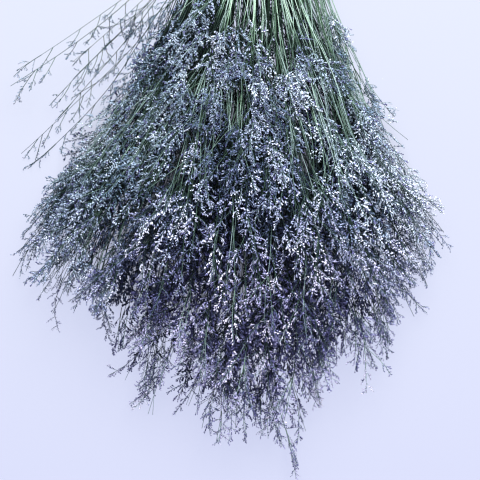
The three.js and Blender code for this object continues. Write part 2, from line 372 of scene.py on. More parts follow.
thinness = np.where(strays[axes["who"]], STRAY_THINNESS, 1.0)[:, None]
main_numbers = np.flatnonzero(axes["main"])
share = np.linspace(0, 1, MAIN_STEPS)
main_paths = axis_paths(main_numbers, share)
at_butt, at_tip = MAIN_RADII
main_radii = at_tip + (at_butt - at_tip) * (1 - share) ** MAIN_TAPER * thinness[main_numbers]
branch_numbers = np.flatnonzero(~axes["main"])
share = np.linspace(0, 1, BRANCH_STEPS)
branch_paths = axis_paths(branch_numbers, share)
thick = axes["thick"][branch_numbers, None] * thinness[branch_numbers]
branch_radii = thick + (BRANCH_TIP_RADIUS - thick) * share


# Flowering shoots. A shoot is a short curved twig: it leaves its parent at base in the direction start,
# and bends into the direction end. Sprays leave the axes on bare stalks, and spikes leave the sprays.

SPRAY_SPACING = (74.0, 22.5)  # along an axis, deep inside the head and at its surface
SPACING_SCATTER = (0.65, 1.35)
SPRAY_LENGTH = (44.0, 92.0)  # near the end of an axis and far from it
SPRAY_LENGTH_FALL = 0.8
SPRAY_LENGTH_SCATTER = (0.7, 1.2)
SPRAY_LEAN = ((0.25, 0.7), (0.4, 1.0))  # in radians, low on an axis and near its tip
NECK_TO_TIPS = (300.0, 620.0)
NORMAL_SCATTER = 0.35
TURN_SCATTER = 0.5
MORE_OUTWARD = (0.35, 0.6)  # sprays stand out of the head rather than into it: their mean, and how they vary
FOLLOWS_AXIS = (0.45, 0.25)  # how much of its axis's direction a spray takes up, and how much less at tips
SPRAY_DROOP = (0.0, -0.2, -0.1)
LOOSE = (0.2, 0.16)  # how loosely sprays bend, and how much more loosely near the head's edges
NEAR_EDGES = (0.4, 0.9)
SPRAY_TONE = 0.23
EVENER_AT_SIDES = (0.4, (0.3, 0.8))

SWEPT_LEFT = 0.5  # how much further to the left the sprays in the left half of the head point
SWEPT_AT_START = 0.6
SWEPT_FROM = (-1.0, -0.6)
SWEPT_TO = (-0.1, 0.45)
SWEPT_AFTER = (300.0, 380.0)

TIP_SPRAY = 46.0  # from where an axis's own last spray begins to the axis's end
TIP_SCATTER = (0.12, 0.3)  # of that spray's direction, at its start and at its end
TIP_LENGTH_SCATTER = (1.1, 1.4)
LONGER_AT_LEFT = 0.28
LEFT_RISES = (0.3, 0.5)
LEFT_FALLS = (0.7, 0.85)
BARE_STALK = 0.42  # the share of a spray that is a bare stalk
BARE_SCATTER = (0.7, 1.3)
BARE_TIP_STALK = 0.1
SHORTEST = 0.45  # of a spray near the head's lower edge, as a share of what it would be elsewhere
SHORTEST_TIP = 0.9

FIRST_SPRAYS = (  # places across the section, and the stations of the first sprays there
    (-1.2, -1.0, -0.6, -0.1, 0.1, 0.3, 0.6, 1.0),
    (206, 208, 194, 192, 218, 238, 238, 246),
)
FIRST_SCATTER = 30.0
EARLIER_BELOW = 85.0  # the bunch's underside flowers this much nearer the tie
UNDERSIDE = (-0.7, 0.3)
ROUND_SIDES = (0.75, 0.95)
PAST_FORK = 22.0
BEFORE_TIP = 30.0
CLOSER_AT_TIPS = 0.22
LAST_STATIONS = (420.0, 540.0)
CLOSER_AT_LEFT = 0.33
TO_THE_LEFT = (0.2, 0.8)

CLUMP_SIZE = 15.5
CLUMP_GAP = -0.02  # sprays are left out where the clump wave is below this
CLUMP_SCATTER = 0.2
CLUMP_AHEAD = 40.0  # from the base of a spray to the middle of its flowers
CLUMP_WAVES = (1.9, 0.45, 0.62, 1.6, 0.7)  # uneven, so that no two clumps are alike

STRAY_BEGINS = 212.0
STRAY_SPACING = 15.0
STRAY_BEFORE_TIP = 10.0
STRAY_TIP = 16.0
STRAY_SPRAY = 30.0
STRAY_LEAN = (0.5, 1.0)
STRAY_FILL = 0.75  # how closely a stray flowers, for 1 in the head
STRAY_LIMIT = -240.0

SURFACE_SHARE = (0.5, 0.62, 0.8, 0.9)  # in the middle, and what height, the sides and the tips add to it
SURFACE_TIPS = (400.0, 540.0)
OUTWARD = (0.8, 0.6, 0.75)  # to the side, upwards, and more upwards the higher a place is

GREEN_TO_PURPLE = (320.0, 560.0)  # the stations between which the flowers' tint changes
PURPLER_INSIDE = (0.3, (0.15, 0.6))
GREENER_AT_LEFT = (0.15, (0.3, 0.8))
TINT_SCATTER = 0.08

SPIKE_SPACING = 5.2
SPIKE_PLACE = (0.25, 0.75)
FEWEST_SPIKES = 2
FEWEST_ON_STRAY = 3
LAST_SPIKE = 0.94  # the share of a spray at which its spikes end
BARE_TIP = 4.0
SPIKE_LENGTH = (15.5, 7.0)  # at the base of a spray's flowers and at its tip
SPIKE_LENGTH_SCATTER = (0.65, 1.25)
FULL_SPRAY = 38.0  # shorter sprays have shorter spikes, within these shares
FULL_SPRAY_SHARES = (0.55, 1.15)
SPIKE_NORMAL_SCATTER = 0.3
SPIKE_LEAN = (0.6, 1.3)
SPIKE_LIFT = (-0.35, 0.5)
SPIKE_FOLLOWS = 0.3
SPIKE_DROOP = (0.0, -0.35, -0.08)
SPIKE_LOOSE = (0.27, 0.3, 0.15)  # how loosely spikes bend, and what the left side and the tips add to it
LOOSE_STATIONS = (520.0, 620.0)
SPIKE_BARE = 0.14
SPIKE_TONE = 0.08

TOP_OF_HEAD = 204.0  # the uppermost sprays have settled below this height
SIDES_OF_HEAD = (  # stations, and how far left and right the shoots reach there
    (295, 335, 375, 415, 455, 475, 495, 535),
    (-140, -172, -197, -212, -224, -229, -229, -215),
    (114, 152, 177, 181, 180, 190, 194, 180),
)
SIDE_SCATTER = 6.0
BESIDE_AXIS = 9.0  # shoots may always reach this far out of their base
TIP_BESIDE = 5.0  # and an axis's own last spray this far past the axis's end
LOWER_EDGE = (  # places from side to side, and the stations at which the shoots there end
    (-238, -216, -178, -160, -148, -136, -121, -97, -82, -40, -24, 0, 43, 66, 100, 131, 161, 191),
    (486, 500, 502, 524, 552, 586, 608, 644, 655, 658, 676, 672, 706, 664, 630, 608, 566, 508),
)
STILL_ONWARD = -0.35  # shoots at the lower edge may still point onward by this much

BARE_CHANNELS = 0.46  # how much of the head's neck is bare stems between clumps of flowers
NECK_ENDS = (300.0, 430.0)
CHANNELS_FADE = (-0.9, -0.3)
CHANNELS_ALONG = (19.0, 1.7, 21.0)  # how close they are, and how far and how slowly they wind
CHANNELS_ACROSS = (17.0, 2.2, 8.0)
STREAKS = (  # where riders run bare on the left: stations, places across there, and the half width
    (350.0, 470.0, -0.4, -0.72, 0.06),
    (385.0, 485.0, -0.6, -0.9, 0.04),
)
STREAK_ENDS = 15.0
STREAK_EDGE = (0.5, 1.2)


def shoot_point(shoots, t):
    t = t[..., None]
    bend = shoots["end"] - shoots["start"]
    return shoots["base"] + shoots["length"][:, None] * (t * shoots["start"] + t * t / 2 * bend)


def shoot_direction(shoots, t):
    return unit(shoots["start"] + t[..., None] * (shoots["end"] - shoots["start"]))


def keep_in_head(direction, base, length, is_stray, beside=BESIDE_AXIS):
    """Bends directions so that shoots end inside the head, or at most so far beside their base."""
    stations, left, right = SIDES_OF_HEAD
    out = rng.normal(0, SIDE_SCATTER, len(length))
    end_station = -base[:, 1] - direction[:, 1] * length
    left = np.minimum(np.interp(end_station, stations, left) - out, base[:, 0] - beside)
    left = np.where(is_stray, STRAY_LIMIT, left)
    right = np.maximum(np.interp(end_station, stations, right) + out, base[:, 0] + beside)
    direction[:, 0] = np.clip(direction[:, 0], (left - base[:, 0]) / length, (right - base[:, 0]) / length)
    ends_at = base[:, 0] + direction[:, 0] * length
    below = (-np.interp(ends_at, *LOWER_EDGE) - base[:, 1]) / length
    direction[:, 1] = np.maximum(direction[:, 1], np.minimum(below, STILL_ONWARD))
    direction[:, 2] = np.minimum(direction[:, 2], (TOP_OF_HEAD - base[:, 2]) / length)
    return unit(direction)


def in_clumps(points):
    """Whether places are in the clumps of flowers, and not in a bare channel or streak between them."""
    station = -points[:, 1]
    side = points[:, 0] / spread_to(HEAD_HALF_WIDTH, station)
    close, wind, slow = CHANNELS_ALONG
    wave = np.sin(side * close + wind * np.sin(station / slow))
    slow, wind, close = CHANNELS_ACROSS
    wave = wave + np.sin(station / slow + wind * np.sin(side * close))
    bare = BARE_CHANNELS * (1 - smooth(*NECK_ENDS, station)) * smooth(*CHANNELS_FADE, side)
    for begins, ends, start, end, half_width in STREAKS:
        beside = np.abs(side - np.interp(station, (begins, ends), (start, end))) / half_width
        inside = smooth(begins - STREAK_ENDS, begins, station)
        inside = inside * (1 - smooth(ends, ends + STREAK_ENDS, station))
        bare = np.maximum(bare, inside * (1 - smooth(*STREAK_EDGE, beside)))
    return (wave + 2) / 4 > bare


def pick(shoots, numbers):
    return {key: value[numbers] for key, value in shoots.items()}


def surface_share(across, up, station):
    """How near the head's upper surface, its edges or its tips a place is, from 0 to 1."""
    middle, by_height, by_side, by_tips = SURFACE_SHARE
    share = middle + by_height * up + by_side * np.abs(across) ** 2 + by_tips * smooth(*SURFACE_TIPS, station)
    return np.clip(share, 0, 1)


def outward(across, up):
    """The direction out of the head at a place in its section."""
    to_side, upwards, by_height = OUTWARD
    return unit(np.stack((across * to_side, 0.0 * across, upwards + up * by_height + 0.0 * across), axis=-1))


def clump_wave(number, station):
    """Sprays stand in clumps, with dark channels between them. The wave runs from -1 to 1."""
    x, y, z = axis_point(np.array([number]), np.array([station + CLUMP_AHEAD]))[0] / CLUMP_SIZE
    bend, bend_length, length, other_bend, other_length = CLUMP_WAVES
    first = math.sin(x + bend * math.sin(y * bend_length))
    second = math.sin(y * length + other_bend * math.sin(x * other_length + z))
    return (first + second + math.sin(z + x / 2)) / 3


def in_clump(number, station):
    return clump_wave(number, station) + rng.uniform(-CLUMP_SCATTER, CLUMP_SCATTER) > CLUMP_GAP


def place_sprays():
    """Where sprays leave the axes: the axis, the station, and whether the spray is the axis's own tip."""
    rows = []
    for number, who in enumerate(axes["who"]):
        up = stems["up"][who] + axes["off_up"][number]
        across = stems["across"][who] + axes["off_across"][number]
        is_stray = strays[who]
        begins = np.interp(across, *FIRST_SPRAYS) + rng.uniform(-FIRST_SCATTER, FIRST_SCATTER)
        begins -= EARLIER_BELOW * (1 - smooth(*UNDERSIDE, up)) * (1 - smooth(*ROUND_SIDES, abs(across)))
        begins += axes["later"][number]
        station = max(STRAY_BEGINS if is_stray else begins, axes["start"][number] + PAST_FORK)
        end = axes["end"][number]
        while station < end - (STRAY_BEFORE_TIP if is_stray else BEFORE_TIP):
            if is_stray or in_clump(number, station):
                rows.append((number, station, 0))
            share = surface_share(across, up, station)
            spacing = SPRAY_SPACING[0] + (SPRAY_SPACING[1] - SPRAY_SPACING[0]) * share
            closer_at_tips = CLOSER_AT_TIPS * smooth(*LAST_STATIONS, station)
            spacing *= 1 - closer_at_tips - CLOSER_AT_LEFT * smooth(*TO_THE_LEFT, -across)
            station += (STRAY_SPACING if is_stray else spacing) * rng.uniform(*SPACING_SCATTER)
        rows.append((number, end - (STRAY_TIP if is_stray else TIP_SPRAY), 1))
    table = np.array(rows)
    return table[:, 0].astype(int), table[:, 1], table[:, 2] > 0


def spray_directions(ahead, out, across, station, is_stray):
    """The directions in which sprays leave their axes, and those into which they bend."""
    count = len(station)
    side = np.cross(ahead, out)
    turn = np.arange(count) * GOLDEN_ANGLE + rng.uniform(-TURN_SCATTER, TURN_SCATTER, count)
    mean, varying = MORE_OUTWARD
    away = np.cos(turn)[:, None] * side + (mean + varying * np.sin(turn))[:, None] * out
    down_side = side * np.sign(-side[:, 1:2]) + 0.5 * np.cos(turn)[:, None] * out
    away = np.where(is_stray[:, None], down_side, away)
    to_tip = smooth(*NECK_TO_TIPS, station)
    least, most = (low + (high - low) * to_tip for low, high in zip(*SPRAY_LEAN))
    lean = least + (most - least) * rng.uniform(0, 1, count)
    lean = np.where(is_stray, rng.uniform(*STRAY_LEAN, count), lean)
    start = unit(ahead * np.cos(lean)[:, None] + unit(away) * np.sin(lean)[:, None])
    along = (FOLLOWS_AXIS[0] - FOLLOWS_AXIS[1] * to_tip)[:, None]
    loose = LOOSE[0] + LOOSE[1] * smooth(*NEAR_EDGES, np.abs(across))[:, None]
    bent = ahead * along + start * (1 - along) + SPRAY_DROOP
    end = unit(bent + rng.normal(0, 1, start.shape) * loose)
    swept = SWEPT_LEFT * smooth(*SWEPT_FROM, across) * (1 - smooth(*SWEPT_TO, across))
    swept = swept * smooth(*SWEPT_AFTER, station)
    swept = np.stack((-swept * ~is_stray, 0 * swept, 0 * swept), axis=-1)
    return unit(start + SWEPT_AT_START * swept), unit(end + swept)


def plan_sprays():
    number, station, is_tip = place_sprays()
    who = axes["who"][number]
    is_stray = strays[who]
    count = len(number)
    base = axis_point(number, station)
    ahead = unit(axis_point(number, station + 4) - axis_point(number, station - 4))
    across = stems["across"][who] + axes["off_across"][number]
    up = stems["up"][who] + axes["off_up"][number]
    out = outward(across, up)
    out = unit(out + rng.normal(0, NORMAL_SCATTER, out.shape))
    out = unit(out - ahead * (out * ahead).sum(-1, keepdims=True))
    start, end = spray_directions(ahead, out, across, station, is_stray)

    axis_end = axes["end"][number]
    left = (axis_end - station) / (axis_end - min(FIRST_SPRAYS[1]))
    length = SPRAY_LENGTH[0] + (SPRAY_LENGTH[1] - SPRAY_LENGTH[0]) * np.clip(left, 0, 1) ** SPRAY_LENGTH_FALL
    length = np.where(is_stray, STRAY_SPRAY, length) * rng.uniform(*SPRAY_LENGTH_SCATTER, count)
    to_end = axis_point(number, axis_end) - base
    tip_start, tip_end = (unit(unit(to_end) + rng.normal(0, one, to_end.shape)) for one in TIP_SCATTER)
    start = np.where(is_tip[:, None], tip_start, start)
    end = np.where(is_tip[:, None], tip_end, end)
    at_left = smooth(*LEFT_RISES, -across) * (1 - smooth(*LEFT_FALLS, -across))
    tip_length = np.linalg.norm(to_end, axis=-1) * (1 + LONGER_AT_LEFT * at_left)
    length = np.where(is_tip, tip_length * rng.uniform(*TIP_LENGTH_SCATTER, count), length)
    heading = (start + end) / 2 * length[:, None]
    room = np.interp(base[:, 0] + heading[:, 0], *LOWER_EDGE) - station
    shortest = np.where(is_tip, SHORTEST_TIP, SHORTEST)
    length = length * np.clip(room / np.maximum(1, -heading[:, 1]), shortest, 1)
    beside = np.where(is_tip, np.abs(to_end[:, 0]) + TIP_BESIDE, BESIDE_AXIS)

    bare = np.where(is_tip, BARE_TIP_STALK, BARE_STALK * rng.uniform(*BARE_SCATTER, count))
    purpler, inside = PURPLER_INSIDE
    greener, at_side = GREENER_AT_LEFT
    tint = smooth(*GREEN_TO_PURPLE, station) + purpler * (1 - smooth(*inside, np.abs(across)))
    tint = tint - greener * smooth(*at_side, -across)
    tint = np.clip(tint + rng.normal(0, TINT_SCATTER, count), 0, 1)
    evener, at_sides = EVENER_AT_SIDES
    return {
        "who": who,
        "base": base,
        "start": keep_in_head(start, base, length, is_stray, beside),
        "end": keep_in_head(end, base, length, is_stray, beside),
        "normal": out,
        "length": length,
        "bare": bare,
        "fill": np.where(is_stray, STRAY_FILL, 1.0),
        "tint": tint,
        "tone": rng.normal(0, SPRAY_TONE, count) * (1 - evener * smooth(*at_sides, np.abs(across))),
    }


def one_by_one(count):
    """For a count of children of each shoot: each child's parent, and its place in that parent's row."""
    parent = np.repeat(np.arange(len(count)), count)
    return parent, np.arange(len(parent)) - np.repeat(np.cumsum(count) - count, count)


def plan_spikes(sprays):
    flowering = sprays["length"] * (1 - sprays["bare"])
    count = np.round((flowering - BARE_TIP) / SPIKE_SPACING * sprays["fill"] ** 0.5).astype(int)
    count = np.maximum(np.where(strays[sprays["who"]], FEWEST_ON_STRAY, FEWEST_SPIKES), count)
    parent, place = one_by_one(count)
    parents = pick(sprays, parent)
    share = (place + rng.uniform(*SPIKE_PLACE, len(place))) / count[parent]
    t = parents["bare"] + (LAST_SPIKE - parents["bare"]) * share
    ahead = shoot_direction(parents, t)
    normal = unit(parents["normal"] + rng.normal(0, SPIKE_NORMAL_SCATTER, ahead.shape))
    side = unit(np.cross(ahead, normal)) * np.where(place % 2, 1.0, -1.0)[:, None]
    lean = rng.uniform(*SPIKE_LEAN, len(t))[:, None]
    lift = rng.uniform(*SPIKE_LIFT, len(t))[:, None]
    start = unit(ahead * np.cos(lean) + side * np.sin(lean) + normal * lift)
    base = shoot_point(parents, t)
    loose, looser_left, looser_tips = SPIKE_LOOSE
    loose = loose + looser_left * smooth(*TO_THE_LEFT, -base[:, :1] / HEAD_HALF_WIDTH)
    loose = loose + looser_tips * smooth(*LOOSE_STATIONS, -base[:, 1:2])
    bent = start * (1 - SPIKE_FOLLOWS) + ahead * SPIKE_FOLLOWS + SPIKE_DROOP
    end = unit(bent + rng.normal(0, 1, start.shape) * loose)
    first, last = SPIKE_LENGTH
    length = (first + (last - first) * share) * np.clip(flowering[parent] / FULL_SPRAY, *FULL_SPRAY_SHARES)
    length = length * rng.uniform(*SPIKE_LENGTH_SCATTER, len(t))
    return {
        "spray": parent,
        "who": parents["who"],
        "base": base,
        "start": keep_in_head(start, base, length, strays[parents["who"]]),
        "end": keep_in_head(end, base, length, strays[parents["who"]]),
        "normal": normal,
        "length": length,
        "bare": np.full(len(t), SPIKE_BARE),
        "fill": parents["fill"],
        "tint": parents["tint"],
        "tone": parents["tone"] + rng.normal(0, SPIKE_TONE, len(t)),
    }


sprays = plan_sprays()
spikes = plan_spikes(sprays)
spikes = pick(spikes, in_clumps(spikes["base"]) | strays[spikes["who"]])
sprays = pick(sprays, np.bincount(spikes["spray"], minlength=len(sprays["who"])) > 0)


# The spikelets' plan: what is left of the flowers, in a close row along one side of every spike and
# along the end of every spray.

SPIKELET_SPACING = 1.7
SPACING_UNEVEN = 0.25
SPIKELET_LEAN = 0.64
LEAN_SCATTER = (0.6, 1.5)
ROW_APART = 0.45  # the two rows of a spike stand this far, in radians, to each side of its flowering side
ROW_DROOP = 0.5
ROW_SCATTER = 0.25
FLOWERS_FROM = 0.6  # spikelets on a spray itself begin at this share of it
STEM_SIZES = (0.88, 1.12)
SMALLER_AT_LEFT = (0.2, (0.35, 0.9))
SPIKELET_SIZES = (0.72, 1.22)
SIZE_AT_BASE = 1.1
SIZE_FALL = 0.3  # from the base of a shoot to its tip
SIZE_UNDERNEATH = (0.82, 0.18, (20.0, 120.0))  # low in the bunch, what height adds, and between which heights

smaller, at_left = SMALLER_AT_LEFT
spikelet_size = rng.uniform(*STEM_SIZES, stem_count) * (1 - smaller * smooth(*at_left, -stems["across"]))


def plan_spikelets(shoots, bare):
    usable = shoots["length"] * (1 - bare) * shoots["fill"] ** 0.5
    count = np.maximum(2, np.round(usable / SPIKELET_SPACING).astype(int))
    parent, place = one_by_one(count)
    bare = bare[parent]
    uneven = rng.uniform(-SPACING_UNEVEN, SPACING_UNEVEN, len(place))
    t = bare + (1 - bare) * (place + 0.5 + uneven) / count[parent]
    parents = pick(shoots, parent)
    ahead = shoot_direction(parents, t)
    side = unit(np.cross(ahead, parents["normal"]))
    turn = rng.uniform(0, 2 * math.pi, len(count))[parent] + np.where(place % 2, ROW_APART, -ROW_APART)
    lower = np.array((0.0, -1.0, 0.0)) + ahead * ahead[:, 1:2]
    row = np.cos(turn)[:, None] * side + np.sin(turn)[:, None] * parents["normal"]
    row = unit(row + ROW_DROOP * lower + rng.normal(0, ROW_SCATTER, side.shape))
    lean = SPIKELET_LEAN * rng.uniform(*LEAN_SCATTER, len(t))[:, None]
    base = shoot_point(parents, t)
    size = rng.uniform(*SPIKELET_SIZES, len(t)) * (SIZE_AT_BASE - SIZE_FALL * t)
    size = size * spikelet_size[parents["who"]]
    low, more, heights = SIZE_UNDERNEATH
    return {
        "who": parents["who"],
        "base": base,
        "direction": unit(ahead * np.cos(lean) + row * np.sin(lean)),
        "size": size * (low + more * smooth(*heights, base[:, 2])),
        "tint": parents["tint"],
        "tone": parents["tone"],
    }


def join(first, second):
    return {key: np.concatenate((first[key], second[key])) for key in first}


on_spikes = plan_spikelets(spikes, spikes["bare"])
on_sprays = plan_spikelets(sprays, np.maximum(sprays["bare"], FLOWERS_FROM))
spikelets = join(on_spikes, pick(on_sprays, in_clumps(on_sprays["base"]) | strays[on_sprays["who"]]))


# How deep inside the bunch a place is, for the painted shade: the colours of the outer parts stay light
# and those deeper inside are painted dusky. A surface is found on each side of the bunch from all of
# its parts.

DEPTH_CELL = 11.0
SIDES_OF_BUNCH = ((0, -1), (0, 1), (1, -1), (2, 1))  # left, right, tips and top, each an axis and a sign
NOTHING = -1e6  # the height of a surface where the bunch has no part
THIN_AT_RIGHT = (0.45, (0.1, 0.7))  # how much less depth counts there, and between which places that sets in
THIN_AT_LEFT = (0.35, (0.45, 0.95))
THIN_NEAR_TIE = (280.0, 440.0)
SPRAY_STEPS = 5
SPIKE_STEPS = 3


def shoot_paths(shoots, steps):
    count = len(shoots["length"])
    return np.stack([shoot_point(shoots, np.full(count, t)) for t in np.linspace(0, 1, steps)], axis=1)


spray_paths = shoot_paths(sprays, SPRAY_STEPS)
spike_paths = shoot_paths(spikes, SPIKE_STEPS)
all_points = [paths.reshape(-1, 3) for paths in (main_paths, branch_paths, spray_paths, spike_paths)]
all_points = np.concatenate(all_points + [spikelets["base"]])
grid_low = all_points.min(axis=0) - 2 * DEPTH_CELL
grid_size = np.ceil((all_points.max(axis=0) + 2 * DEPTH_CELL - grid_low) / DEPTH_CELL).astype(int)


def surface_cell(points, axis):
    cell = np.clip(((points - grid_low) / DEPTH_CELL).astype(int), 0, grid_size - 1)
    first, second = (one for one in range(3) if one != axis)
    return cell[:, first] * grid_size[second] + cell[:, second]


surfaces = []
for axis, sign in SIDES_OF_BUNCH:
    surface = np.full(grid_size.max() ** 2, NOTHING)
    np.maximum.at(surface, surface_cell(all_points, axis), sign * all_points[:, axis])
    row_length = grid_size[max(one for one in range(3) if one != axis)]
    beside = np.stack([np.roll(surface, step) for step in (0, 0, 1, -1, row_length, -row_length)])
    known = beside > NOTHING / 2
    level = (beside * known).sum(axis=0) / np.maximum(1, known.sum(axis=0))
    surfaces.append(np.where(surface > NOTHING / 2, level, surface))


def depth_of(points):
    depths = [
        surface[surface_cell(points, axis)] - sign * points[:, axis]
        for surface, (axis, sign) in zip(surfaces, SIDES_OF_BUNCH)
    ]
    return np.maximum(0, np.min(depths, axis=0))


def gloom(points, nearest):
    """How much painted shade a place inside the bunch gets: its depth, counted less where the bunch is thin.
    """
    out_right = points[:, 0] / HEAD_HALF_WIDTH
    (thin_right, right), (thin_left, left) = THIN_AT_RIGHT, THIN_AT_LEFT
    at_sides = 1 - thin_right * smooth(*right, out_right) - thin_left * smooth(*left, -out_right)
    towards_tie = nearest + (1 - nearest) * smooth(*THIN_NEAR_TIE, -points[:, 1])
    return depth_of(points) * at_sides * towards_tie


# The wood as it is seen: the main axes, branches and twigs of each stem in one mesh. Dry bark, grey green
# to straw, with painted shade that makes it dusky deep inside the head and darker at the head's sides and
# on the strays, and evenly straw green at the butts.

TWIG_SIDES = 3
SPRAY_RADII = (0.4, 0.22)
SPIKE_RADII = (0.26, 0.14)
HIDDEN_FROM = 12.5  # deeper shoots and spikelets get fewer faces
PITH_RINGS = ((1.0, 0.3), (0.72, 0.6), (0.0, 1.0))  # of a cut end: how far out, and how pale
WOOD_CLEARANCE = 0.1  # above the surface that the bunch lies on

MOTTLE = 0.09
WOOD_DARKENS = (2.0, 22.0)  # depths over which painted shade takes the wood from its outer to its inner tone
WOOD_NEAR_TIE = 0.45  # how much depth counts near the tie
WOOD_TONES = (0.2, 0.8)  # the darkest stem's tone, and how much paler the palest is
DEEP_TONES = 0.05  # how much the stems still differ deep inside
RIDERS_PALE = 0.5  # riders, which end on top of the head, are paler: their tone is at least this
RIDERS_LIT = 0.6  # how much less painted shade than the other stems they get inside the head
IN_HEAD = (0.68, (270.0, 480.0))  # how much painted shade darkens the wood in the head, and where that begins and ends
AT_TIPS = (0.35, (470.0, 580.0))  # and how much paler at the tips
BARE_PART = (1.6, (230.0, 320.0))  # how much more depth counts where the stems are bare
# Painted shade: the wood near the head's left and right edges, and on the strays, is darker.
DARKER_LEFT = (0.5, (0.4, 0.9))
DARKER_RIGHT = (0.3, (0.5, 0.9))
DARKER_STRAYS = 0.4
PAST_TIE = (90.0, 230.0)  # the tones of the head set in between these stations
EVEN_BUTTS = 0.82  # how much less the stems differ in tone before that
DARKER_BUTTS = 0.24

BARK_STRIP = (0.01, 0.8)  # of the unwrapping: bark by thickness, cut ends above it, and shade across both
CUT_STRIP = (0.84, 0.15)
SHADE_STRIP = (0.96, 0.02)

BARK_BY_THICKNESS = (
    (0.0, (0.30, 0.265, 0.155)),
    (0.2, (0.275, 0.30, 0.18)),
    (0.38, (0.25, 0.325, 0.235)),
    (0.6, (0.225, 0.295, 0.215)),
    (1.0, (0.19, 0.23, 0.26)),
)
BARK_BY_SHADE = (
    (0.0, (0.03, 0.055, 0.07)),
    (0.2, (0.20, 0.285, 0.25)),
    (0.5, (0.76, 0.86, 0.89)),
    (0.75, (1.33, 1.37, 1.53)),
    (1.0, (1.62, 1.54, 1.8)),
)
PITH = (
    (0.3, (0.16, 0.17, 0.09)),
    (0.6, (0.42, 0.42, 0.29)),
    (1.0, (0.66, 0.63, 0.50)),
)
CUT_MASK = ((0.1, (0.0, 0.0, 0.0)), (0.25, (1.0, 1.0, 1.0)))
BARK_GRAIN = {"Across": 1400.0, "Along": 110.0, "Smoothest": 0.5, "Roughest": 0.85}
BARK_RELIEF = 0.35
BARK_GLOSS = 0.2


def make_mesh(name, vertices, faces, values, uv):
    """A mesh from arrays. values are named numbers for each vertex, and uv is a place for each vertex."""
    mesh = bpy.data.meshes.new(name)
    loops = np.concatenate([part.ravel() for part in faces])
    sizes = np.concatenate([np.full(len(part), part.shape[1]) for part in faces])
    mesh.vertices.add(len(vertices))
    mesh.vertices.foreach_set("co", ((vertices + FROM_TIE) * MM).astype(np.float32).ravel())
    mesh.loops.add(len(loops))
    mesh.loops.foreach_set("vertex_index", loops.astype(np.int32))
    mesh.polygons.add(len(sizes))
    mesh.polygons.foreach_set("loop_start", (np.cumsum(sizes) - sizes).astype(np.int32))
    mesh.polygons.foreach_set("use_smooth", np.ones(len(sizes), dtype=bool))
    for key, value in values.items():
        mesh.attributes.new(key, "FLOAT", "POINT").data.foreach_set("value", value.astype(np.float32))
    mesh.uv_layers.new(name="OFBake").data.foreach_set("uv", uv[loops].astype(np.float32).ravel())
    mesh.update(calc_edges=True)
    mesh.validate()
    return mesh


def cut_ends(vertices, sides):
    """The cut face of each main axis, from the first ring of its rod: vertices, faces and paleness."""
    rings = vertices.reshape(-1, MAIN_STEPS, sides, 3)[:, 0]
    middle = rings.mean(axis=1, keepdims=True)
    levels = [middle + (rings - middle) * out for out, _ in PITH_RINGS[:-1]] + [middle]
    points = np.concatenate(levels, axis=1)
    first = np.arange(len(rings))[:, None, None] * points.shape[1]
    here = np.arange(sides)
    there = (here + 1) % sides
    band = np.stack((here, here + sides, there + sides, there), axis=-1)
    fan = np.stack((here + sides, np.full(sides, 2 * sides), there + sides), axis=-1)
    pale = np.concatenate([np.full(sides, pale) for _, pale in PITH_RINGS[:-1]] + [[PITH_RINGS[-1][1]]])
    faces = [(first + band).reshape(-1, 4), (first + fan).reshape(-1, 3)]
    return points.reshape(-1, 3), faces, np.tile(pale, len(rings))


def twigs(paths, radii, owners):
    tapering = np.linspace(*radii, paths.shape[1]) * np.ones((len(paths), 1))
    return paths, tapering, TWIG_SIDES, owners, np.zeros(len(paths))


hidden = depth_of(spikes["base"]) > HIDDEN_FROM
paleness = np.where(axes["rider"], RIDERS_PALE, 0.0)
WOOD_SETS = (  # paths, radii, number of sides, the stems they belong to, and the least tone they have
    (main_paths, main_radii, MAIN_SIDES, axes["who"][main_numbers], paleness[main_numbers]),
    (branch_paths, branch_radii, BRANCH_SIDES, axes["who"][branch_numbers], paleness[branch_numbers]),
    twigs(spray_paths, SPRAY_RADII, sprays["who"]),
    twigs(spike_paths[~hidden], SPIKE_RADII, spikes["who"][~hidden]),
    twigs(spike_paths[hidden][:, ::2], SPIKE_RADII, spikes["who"][hidden]),
)


def wood_shade(points, tone, rides, who, past_tie):
    """How light the wood of a stem is at places: its tones, with painted shade by depth, in the head and at
    its sides.
    """
    station = -points[:, 1]
    tone = tone + EVEN_BUTTS * (0.5 - tone) * (1 - past_tie)
    more, bare = BARE_PART
    deeper = 1 + more * (1 - smooth(*bare, station))
    # painted shade: the deeper below the bunch's surfaces, the darker
    outer = 1 - smooth(*WOOD_DARKENS, gloom(points, WOOD_NEAR_TIE) * deeper)
    covered = 1 - RIDERS_LIT * rides
    darker, head = IN_HEAD
    paler, tips = AT_TIPS
    shade = (WOOD_TONES[0] + WOOD_TONES[1] * tone) * outer * (1 - darker * smooth(*head, station) * covered)
    shade = shade + DEEP_TONES * tone + paler * smooth(*tips, station) * outer
    across = stems["across"][who]
    (darker_left, left), (darker_right, right) = DARKER_LEFT, DARKER_RIGHT
    at_side = darker_left * covered * smooth(*left, -across) + darker_right * smooth(*right, across)
    on_stray = DARKER_STRAYS * strays[who] * past_tie
    shade *= (1 - at_side * past_tie) * (1 - on_stray) * (1 - DARKER_BUTTS * (1 - past_tie))
    return np.clip(shade, 0, 1)


